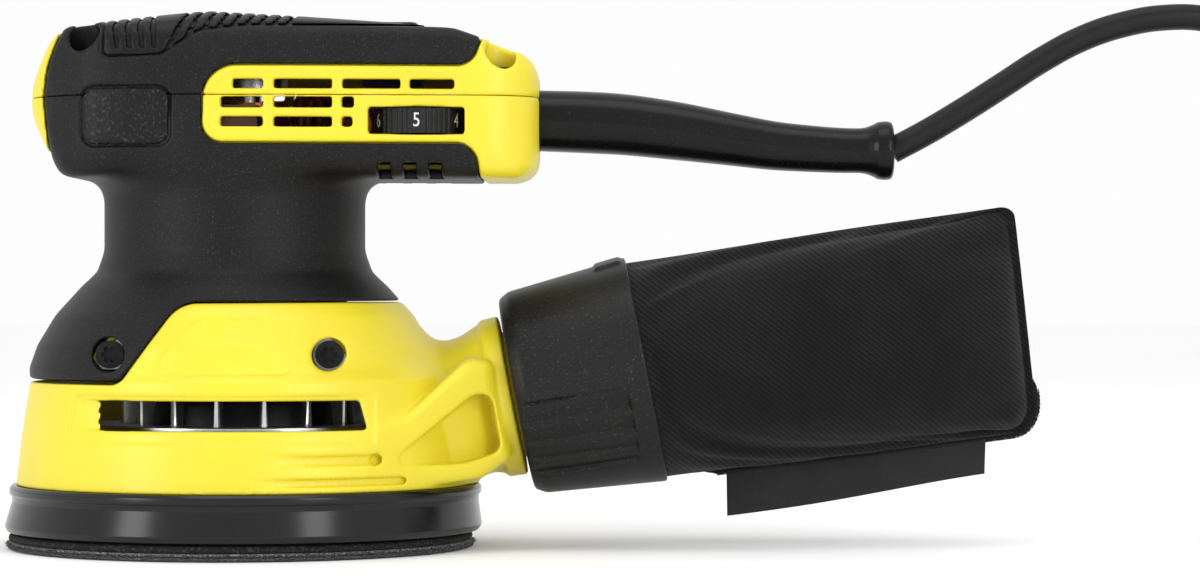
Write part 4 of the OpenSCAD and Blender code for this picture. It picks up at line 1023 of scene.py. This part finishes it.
# %% Twill
def twill_cloth(name, tone, ridge, pitch_mm, rough=0.85):
    """Diagonal ribs, with the two threads of the weave crossing them, along the object's own axes."""
    material = bpy.data.materials.new(name)
    material.use_nodes = True
    tree = material.node_tree
    shader = tree.nodes["Principled BSDF"]
    shader.inputs["Roughness"].default_value = rough
    shader.inputs["Sheen Weight"].default_value = 0.08
    shader.inputs["Sheen Roughness"].default_value = 0.6
    shader.inputs["Specular IOR Level"].default_value = 0.10
    place = node_at(tree, "ShaderNodeTexCoord")
    turned = node_at(tree, "ShaderNodeMapping")
    turned.inputs["Rotation"].default_value = (0, math.radians(-38), 0)
    tree.links.new(place.outputs["Object"], turned.inputs["Vector"])
    ribs = node_at(tree, "ShaderNodeTexWave", Scale=1000 / (pitch_mm * 6.2832 / 2), Distortion=1.2, Detail=2.0)
    ribs.bands_direction = "Z"
    ribs.inputs["Detail Scale"].default_value = 0.6
    yarn = node_at(tree, "ShaderNodeTexWave", Scale=1000 / (0.55 * 6.2832 / 2), Distortion=1.0, Detail=1.0)
    yarn.bands_direction = "X"
    fuzz = node_at(tree, "ShaderNodeTexNoise", Scale=1000 / 0.3, Detail=3.0)
    slub = node_at(tree, "ShaderNodeTexNoise", Scale=1000 / 14, Detail=3.0)
    for texture in (ribs, yarn, fuzz, slub):
        tree.links.new(turned.outputs["Vector"], texture.inputs["Vector"])
    woven = node_at(tree, "ShaderNodeMath", operation="MULTIPLY_ADD")
    woven.inputs[1].default_value = 0.25
    tree.links.new(yarn.outputs["Fac"], woven.inputs[0])
    tree.links.new(ribs.outputs["Fac"], woven.inputs[2])
    worn = node_at(tree, "ShaderNodeMath", operation="MULTIPLY")
    tree.links.new(woven.outputs[0], worn.inputs[0])
    tree.links.new(slub.outputs["Fac"], worn.inputs[1])
    colour = node_at(tree, "ShaderNodeValToRGB")
    colour.color_ramp.elements[0].position = 0.15
    colour.color_ramp.elements[0].color = (*tone, 1)
    colour.color_ramp.elements[1].position = 0.75
    colour.color_ramp.elements[1].color = (*ridge, 1)
    tree.links.new(worn.outputs[0], colour.inputs["Fac"])
    tree.links.new(colour.outputs["Color"], shader.inputs["Base Color"])
    raised = node_at(tree, "ShaderNodeBump", Strength=0.55, Distance=0.00022)
    tree.links.new(woven.outputs[0], raised.inputs["Height"])
    frayed = node_at(tree, "ShaderNodeBump", Strength=0.25, Distance=0.0001)
    tree.links.new(fuzz.outputs["Fac"], frayed.inputs["Height"])
    tree.links.new(raised.outputs["Normal"], frayed.inputs["Normal"])
    tree.links.new(frayed.outputs["Normal"], shader.inputs["Normal"])
    return material


twill = twill_cloth("black_twill", grey(0.0018), grey(0.009), 1.15)
seam_thread = twill_cloth("overlock_thread", grey(0.003), grey(0.018), 0.8)


# %% Loft of the bag
bag_start, bag_end = 31.0, 139.3
bag_sides, bag_rows = 112, 86


def bag_section(s):
    """Middle, half height, half thickness and squareness of the bag at s along the port's axis."""
    t = np.clip((s - 37.0) / (bag_end - 37.0), 0, 1)
    middle = 0.2 + 5.7 * t
    half = 29.2 + 1.1 * ease((s - 37) / 70)
    flat = np.clip((s - 84.0) / (bag_end - 84.0), 0, 1)
    thick = 29.2 - 6.5 * ease((s - 37) / 60)
    thick = 1.1 + (thick - 1.1) * math.sqrt(max(0.0, 1 - flat ** 2.3))
    return middle, half, thick, 2.0 + 0.9 * ease((s - 37) / 60)


def bag_point(s, a):
    middle, half, thick, power = bag_section(s)
    c, d = math.cos(a), math.sin(a)
    down = half * math.copysign(abs(c) ** (2 / power), c)
    wide = thick * math.copysign(abs(d) ** (2 / power), d)
    # The corners of the far end: a tight one above, a rounder one below
    near_end = np.clip((s - 120) / (bag_end - 120), 0, 1)
    corner = 8.0 if down > 0 else 3.2
    start = bag_end - corner
    if s > start:
        q = (s - start) / corner
        lost = corner * (1 - math.sqrt(max(0.0, 1 - q * q)))
        limit = half - lost
        down *= limit / half
    slant = -0.085 * (middle + down - 6) * near_end ** 2
    return np.array([middle + down, wide, s + slant])


def bag_rows_at():
    early = np.linspace(bag_start, 118, 52)
    late = 118 + (bag_end - 118) * np.sin(np.linspace(0, math.pi / 2, bag_rows - 51))
    return list(early) + list(late[1:])


def build_bag():
    rows = bag_rows_at()
    points, faces = [], []
    for s in rows:
        for k in range(bag_sides):
            points.append(bag_point(s, 2 * math.pi * k / bag_sides) * mm)
    for i in range(len(rows) - 1):
        for k in range(bag_sides):
            n = (k + 1) % bag_sides
            low, high = i * bag_sides, (i + 1) * bag_sides
            faces.append((low + k, low + n, high + n, high + k))
    last = (len(rows) - 1) * bag_sides
    half = bag_sides // 2
    # The last ring is nearly flat, so it is closed by joining its two long sides
    for k in range(half - 1):
        across = last + bag_sides - k
        faces.append((last + k, last + k + 1, across - 1, across if k else last))
    faces = [tuple(dict.fromkeys(f)) for f in faces]
    faces = [f for f in faces if len(f) > 2]
    return object_from("bag", points, faces, twill), rows


bag, bag_row_list = build_bag()
print("bag loft", len(bag.data.polygons), "faces")


# %% Letting the cloth go
def settle_cloth(piece, held, frames=14, pressure=1.5, cap=2.6):
    """Runs Cloth on piece with the vertices in held pinned, and keeps moves within cap millimetres."""
    before = np.array([v.co for v in piece.data.vertices])
    group = piece.vertex_groups.new(name="held")
    group.add(held, 1.0, "REPLACE")
    cloth = piece.modifiers.new("cloth", "CLOTH")
    settings = cloth.settings
    settings.quality = 6
    settings.mass = 0.25
    settings.tension_stiffness = settings.compression_stiffness = 12
    settings.bending_stiffness = 0.6
    settings.vertex_group_mass = "held"
    settings.use_pressure = True
    settings.uniform_pressure_force = pressure
    settings.effector_weights.gravity = 0.6
    cloth.point_cache.frame_start = 1
    cloth.point_cache.frame_end = frames
    scene = bpy.context.scene
    for frame_number in range(1, frames + 1):
        scene.frame_set(frame_number)
    graph = bpy.context.evaluated_depsgraph_get()
    settled = piece.evaluated_get(graph).to_mesh()
    after = np.array([v.co for v in settled.vertices])
    piece.evaluated_get(graph).to_mesh_clear()
    piece.modifiers.clear()
    piece.vertex_groups.clear()
    scene.frame_set(1)
    move = after - before
    size = np.linalg.norm(move, axis=1)
    scale = np.where(size > cap * mm, cap * mm / np.maximum(size, 1e-9), 1.0)
    moved = before + move * scale[:, None]
    piece.data.vertices.foreach_set("co", moved.reshape(-1))
    piece.data.update()
    print(piece.name, "moved at most", round(float(size.max()) * 1000, 1), "mm, kept within", cap)


def soften(piece, depth=0.9):
    """Broad dents and a few slack folds that run from the collar towards the far corners."""
    numbers = np.array([v.co for v in piece.data.vertices]) / mm
    along = np.clip((numbers[:, 2] - 40) / 30, 0, 1)
    folds = (np.sin(numbers[:, 0] * 0.16 + numbers[:, 2] * 0.05 + 0.8) * 0.55
             + np.sin(numbers[:, 0] * 0.09 - numbers[:, 2] * 0.11 + 2.1) * 0.5
             + np.sin(numbers[:, 2] * 0.23 + numbers[:, 0] * 0.03) * 0.18)
    near_end = np.clip((numbers[:, 2] - 118) / 16, 0, 1)
    puckers = np.sin(numbers[:, 0] * 0.62 + 0.5) * near_end * 0.5
    wide = np.sign(numbers[:, 1]) * (folds * depth + puckers) * along
    share = np.clip(np.abs(numbers[:, 1]) / 8, 0, 1)
    numbers[:, 1] += wide * share
    piece.data.vertices.foreach_set("co", (numbers * mm).reshape(-1))
    piece.data.update()


def held_vertices():
    """The mouth, the far edge, the fold along the top and the sewn line along the bottom."""
    held = []
    for i in range(len(bag.data.vertices)):
        row, k = divmod(i, bag_sides)
        on_fold = abs(k - bag_sides // 2) <= 1
        on_seam = k <= 1 or k == bag_sides - 1
        if row < 4 or row >= len(bag_row_list) - 2 or on_fold or on_seam:
            held.append(i)
    return held


def bag_edge():
    """The sewn edge: along the bottom, round the far lower corner and part way up the far end."""
    spots = np.array([v.co for v in bag.data.vertices]) / mm
    last = (len(bag_row_list) - 1) * bag_sides
    line = [spots[i * bag_sides] for i, s in enumerate(bag_row_list) if s > 42]
    line += [(spots[last + k] + spots[last + bag_sides - k]) / 2 for k in range(1, bag_sides // 5)]
    line = np.array(line)
    far_along = np.concatenate([[0], np.cumsum(np.linalg.norm(np.diff(line, axis=0), axis=1))])
    steps = np.arange(0, far_along[-1], 1.0)
    line = np.stack([np.interp(steps, far_along, line[:, i]) for i in range(3)], 1)
    for _ in range(3):
        line[1:-1] = (line[:-2] + 2 * line[1:-1] + line[2:]) / 4
    return line


soften(bag)
settle_cloth(bag, held_vertices())
seam_points = bag_edge()
bag.data.transform(port_frame)
bag.data.update()
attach(bag, "bag")
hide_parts("dust_bag")

# %% [markdown]
# The seam is an overlocked edge: a flat lip under the bag and round its lower far corner, wound with
# thread. It is drawn as a slim band with slanting stitches standing on it.

# %% Seam and stitches
def outward(line, i):
    """Along the seam and away from the bag at point i of line."""
    d = line[min(i + 1, len(line) - 1)] - line[max(i - 1, 0)]
    d /= np.linalg.norm(d)
    out = np.array([d[2], 0, -d[0]])
    return d, out if out @ (line[i] - bag_middle) > 0 else -out


def build_seam():
    line = seam_points
    points, faces = [], []
    for i, p in enumerate(line):
        d, out = outward(line, i)
        # The band tapers into the cloth at both ends
        full = ease(min(i + 0.5, len(line) - 0.5 - i) / 9)
        for u, v in ((-0.75, -0.9), (-0.75, 0.8), (-0.3, 1.3), (0.3, 1.3), (0.75, 0.8), (0.75, -0.9)):
            ripple = 0.12 * math.sin(i * 1.9)
            wide = np.array([0, u * (0.4 + 0.6 * full), 0])
            points.append((p + wide + out * ((v + 0.9 + ripple) * full - 0.9)) * mm)
    for i in range(len(line) - 1):
        for k in range(6):
            n = (k + 1) % 6
            faces.append((i * 6 + k, (i + 1) * 6 + k, (i + 1) * 6 + n, i * 6 + n))
    faces.append(tuple(range(6)))
    faces.append(tuple((len(line) - 1) * 6 + k for k in range(5, -1, -1)))
    return object_from("bag_seam", points, faces, seam_thread)


def stitch_tube(points, faces, start, end, radius):
    """A short five-sided thread between two points."""
    d = end - start
    d /= np.linalg.norm(d)
    u = np.cross(d, [0.3, 0.5, 0.8])
    u /= np.linalg.norm(u)
    v = np.cross(d, u)
    first = len(points)
    for centre in (start, end):
        for k in range(5):
            a = 2 * math.pi * k / 5
            points.append((centre + (u * math.cos(a) + v * math.sin(a)) * radius) * mm)
    for k in range(5):
        n = (k + 1) % 5
        faces.append((first + k, first + n, first + 5 + n, first + 5 + k))
    faces.append(tuple(first + k for k in range(4, -1, -1)))
    faces.append(tuple(first + 5 + k for k in range(5)))


def build_stitches(line):
    points, faces = [], []
    for i in range(7, len(line) - 8):
        d, out = outward(line, i)
        for side in (-1, 1):
            low = line[i] + np.array([0, side * 0.85, 0]) - out * 0.7
            high = line[i + 1] + np.array([0, side * 0.80, 0]) + out * 0.9
            stitch_tube(points, faces, low, high, 0.16)
        stitch_tube(points, faces, line[i] + out * 1.4 - np.array([0, 0.8, 0]),
                    line[i + 1] + out * 1.4 + np.array([0, 0.8, 0]), 0.16)
    return object_from("bag_stitches", points, faces, seam_thread)


bag_middle = np.array([6, 0, 80])
bag_seam = build_seam()
bag_stitches = build_stitches(seam_points)
for piece in (bag_seam, bag_stitches):
    piece.data.transform(port_frame)
    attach(piece, "bag")

# %% [markdown]
# A label of smooth black ribbon is caught in the seam and hangs from it. It is a sheet of cloth, so it is
# a single thin layer with thickness, waved a little along its free edge and stitched near its rim. What
# such a label says is left out: it is blank.


def build_tag(columns=60, rows=10):
    points, faces = [], []
    for j in range(rows + 1):
        v = j / rows
        for i in range(columns + 1):
            u = i / columns
            s = 52.5 + 70 * u
            top = bag_point(s, 0.0)
            down = top[0] + 0.2 + (12.0 - 2.2 * u) * v + 0.5 * math.sin(u * 5 + 0.5) * v
            out = 0.9 * v * math.sin(u * 6.3 + 0.6) - 0.8 * v * v
            points.append(np.array([down, out - 1.0, s - 2.2 * v]) * mm)
    for j in range(rows):
        for i in range(columns):
            a = j * (columns + 1) + i
            faces.append((a, a + 1, a + columns + 2, a + columns + 1))
    made = object_from("blank_label", points, faces, ribbon)
    thick = made.modifiers.new("cloth", "SOLIDIFY")
    thick.thickness = 0.00035
    return made


ribbon = twill_cloth("black_ribbon", grey(0.012), grey(0.03), 0.5, 0.55)
tag = build_tag()
tag_thread = finish("label_stitches", grey(0.035), grey(0.02), 0.7, 0.3, 0.2, 5.0)[0]


def build_tag_stitches():
    points, faces = [], []
    for v, u0, u1 in ((1.2, 1.5, 68.5), (10.6, 1.5, 68.0)):
        for start in np.arange(u0, u1 - 1.4, 2.2):
            ends = []
            for distance in (start, start + 1.35):
                u = distance / 70
                s = 52.5 + distance
                w = v / 12
                down = bag_point(s, 0.0)[0] + 0.2 + (12.0 - 2.2 * u) * w + 0.5 * math.sin(u * 5 + 0.5) * w
                out = 0.9 * w * math.sin(u * 6.3 + 0.6) - 0.8 * w * w
                ends.append(np.array([down, out - 1.28, s - 2.2 * w]))
            stitch_tube(points, faces, ends[0], ends[1], 0.13)
    return object_from("label_stitches", points, faces, tag_thread)


tag_stitches = build_tag_stitches()
for piece in (tag, tag_stitches):
    piece.data.transform(port_frame)
    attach(piece, "bag")
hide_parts("bag_tag")

# %% [markdown]
# ## Speed dial, switch and what shows inside
# The dial is a knurled wheel with a white number on each of its six flats. The numbers are text turned
# into mesh and bent round the rim. The switch is a rocker under a rubber cap.

# %% Dial numbers
def dial_number(digit, angle_deg):
    data = bpy.data.curves.new(f"number_{digit}", "FONT")
    data.body = str(digit)
    data.size = 0.0052
    data.extrude = 0.00004
    data.align_x = "CENTER"
    data.align_y = "CENTER"
    flat = bpy.data.objects.new(f"flat_{digit}", data)
    bpy.context.scene.collection.objects.link(flat)
    bpy.context.view_layer.update()
    mesh = bpy.data.meshes.new_from_object(flat.evaluated_get(bpy.context.evaluated_depsgraph_get()))
    bpy.data.objects.remove(flat)
    middle = (dial_low + dial_high) / 2 * mm
    turn = math.radians(angle_deg)
    for v in mesh.vertices:
        radius = (dial_r + 0.05) * mm + v.co.z
        a = turn + v.co.x * 0.78 / (dial_r * mm)
        v.co = (dial_x * mm + radius * math.cos(a), dial_y * mm + radius * math.sin(a), middle + v.co.y)
    mesh.materials.clear()
    mesh.materials.append(number_white)
    made = bpy.data.objects.new(f"dial_number_{digit}", mesh)
    bpy.context.scene.collection.objects.link(made)
    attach(made, "dial")
    return made


number_white = finish("number_paint", (0.75, 0.75, 0.73), (0.62, 0.62, 0.6), 0.45, 0.2, 0.1, 1.5)[0]
numbers = [dial_number(digit, -90 - 60 * (digit - 5)) for digit in range(1, 7)]
print(len(numbers), "dial numbers")


# %% Switch cap
def build_switch_cap():
    x, y, z = grid((32, -7.5, 134.8), (47, 7.5, 140.8), field_step / 2)
    plan = outline_field(rounded([(-7.2, -7.2, 3.4), (7.2, -7.2, 3.4), (7.2, 7.2, 3.4), (-7.2, 7.2, 3.4)]),
                         x - switch_x, y)
    top = z - (switch_top - 0.05) + 0.006 * (y ** 2)
    cap = common(plan, top, 2.2)
    cap = np.maximum(cap, 135.1 - z)
    ring_line = rounded([(-4.6, -4.6, 2.2), (4.6, -4.6, 2.2), (4.6, 4.6, 2.2), (-4.6, 4.6, 2.2)])
    ring = np.abs(outline_field(ring_line, x - switch_x, y)) - 0.45
    cap = cut(cap, np.maximum(ring, -(top + 0.55)), 0.4)
    made = mesh_from_field("switch_cap", cap, x, y, z, relief_black)
    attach(made, "switch")
    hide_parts("switch_boot")
    return made


switch_cap = build_switch_cap()

# %% [markdown]
# ## Fan and leads
# The fan is seen through the slots of the base: a cast disc with upright blades that thicken towards
# their foot, round a cone that turns the air outwards. The cone is coloured near-black as painted shade,
# so the gaps between the blades look dark. The fan is turned and swept from a few sizes. Behind the vents
# a bundle of leads runs up from the field coils and over to the board, drawn as thin tubes with a seeded
# sway so that no two lie alike.

# %% Fan
fan_z, fan_edge, blade_reach, blade_count = 31.6, 43.0, 34.0, 17


def build_blades():
    points, faces = [], []
    profile = ((0.8, 1.15), (2.2, 0.85), (9.6, 0.6), (10.0, 0.3))
    for i in range(blade_count):
        a = math.radians(-98.1 + 360 * i / blade_count)
        away, side = np.array([math.cos(a), math.sin(a), 0]), np.array([-math.sin(a), math.cos(a), 0])
        first = len(points)
        for r in (19.0, blade_reach - 0.5, blade_reach):
            slim = 0.6 if r == blade_reach else 1.0
            for height, half in profile:
                for turn in (-1, 1):
                    lift = np.array([0, 0, fan_z + height])
                    points.append((away * r + side * turn * half * slim + lift) * mm)
        row = 2 * len(profile)
        ring = [0, 2, 4, 6, 7, 5, 3, 1]
        for j in range(2):
            for m in range(row):
                n = (m + 1) % row
                low, high = first + j * row, first + (j + 1) * row
                faces.append((low + ring[m], low + ring[n], high + ring[n], high + ring[m]))
        faces.append(tuple(first + k for k in ring[::-1]))
        faces.append(tuple(first + 2 * row + k for k in ring))
    return object_from("fan_blades", points, faces, alloy, smooth=False)


fan_disc_line = rounded([(4.1, fan_z, 0), (fan_edge, fan_z, 0.3), (fan_edge, fan_z + 1.5, 0.4),
                         (4.1, fan_z + 1.5, 0)])
fan_cone_line = rounded([(4.1, fan_z + 1.4, 0), (30.5, fan_z + 1.4, 0), (29.5, fan_z + 8.6, 3), (12, fan_z + 9.8, 2),
                         (4.1, fan_z + 11, 0)])
fan_disc = turned_piece("fan_disc", fan_disc_line, alloy, sides=160)
# The cone's near-black is painted shade: it makes the gaps between the blades look dark
fan_cone = turned_piece("fan_cone", fan_cone_line, black_steel_and_painted_shade, sides=120)
fan_blades = build_blades()
for piece in (fan_disc, fan_cone, fan_blades):
    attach(piece, "rotor")
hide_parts("fan")
print("fan with", blade_count, "blades")


# %% Leads behind the vents
lead_red = finish("lead_red", (0.20, 0.035, 0.014), (0.12, 0.02, 0.01), 0.4, 0.4, 0.1, 5.0)[0]


def build_leads(count=13):
    made = []
    sway = np.random.default_rng(5)
    for i in range(count):
        x0, y0 = 13.2 + 0.98 * i, sway.uniform(-7, 7)
        dx, dy = sway.uniform(-0.6, 0.6), sway.uniform(-2, 2)
        route = [(x0, y0, 104.5), (x0 + dx, y0 + dy, 108), (x0 - dx, y0 - dy, 113.5), (x0 + 0.3, y0, 119.3),
                 (x0 + 2.4, y0 - 2, 122.0), (x0 + 6, y0 - 4, 119.6)]
        material = lead_red if i % 3 else lead_brown
        points = [tuple(c * mm for c in p) for p in route]
        made.append(curve_piece(f"lead_{i + 1}", points, 1.1 * mm, material))
    return made


for piece in build_leads():
    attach(piece, "housing")

# %% [markdown]
# Screws, the motor and the electric parts keep their own exact shapes. Each only needs a finish:
# bright cast alloy for the bearing plate and counterweight, copper and brass where the motor glints through
# the vents, blackened steel for the screws.

# %% Finishes for the pieces kept as they are
node_finishes = {
    "housing_screws": black_steel_and_painted_shade, "cover_screws": black_steel_and_painted_shade, "pad_screws": steel, "bearing_plate": alloy,
    "lower_bearing": steel, "upper_bearing": steel, "pad_bearing": steel, "stator_core": lamination,
    "field_coils": copper, "brush_holders": phenolic, "carbon_brushes": carbon, "brush_springs": steel,
    "circuit_board": board_green, "capacitor": red_case, "choke": copper, "dial_potentiometer": hard_black,
    "switch_body": hard_black, "cord_clamp": hard_black, "clamp_screws": steel, "internal_leads": lead_brown,
    "shaft": steel, "armature_core": lamination, "armature_windings": copper, "commutator": copper,
    "counterweight": alloy, "pad_hub": steel, "speed_dial": dial_black, "switch_rocker": hard_black,
    "bag_adapter": hard_black, "bag_seal": foam_black, "cord_tie": hard_black, "plug_body": relief_black,
    "plug_pins": brass,
}
for node_name, material in node_finishes.items():
    for kept in [o for o in bpy.data.objects if o.type == "MESH" and o.name == node_name]:
        kept.data.materials.clear()
        kept.data.materials.append(material)
print(len(node_finishes), "kept nodes finished")
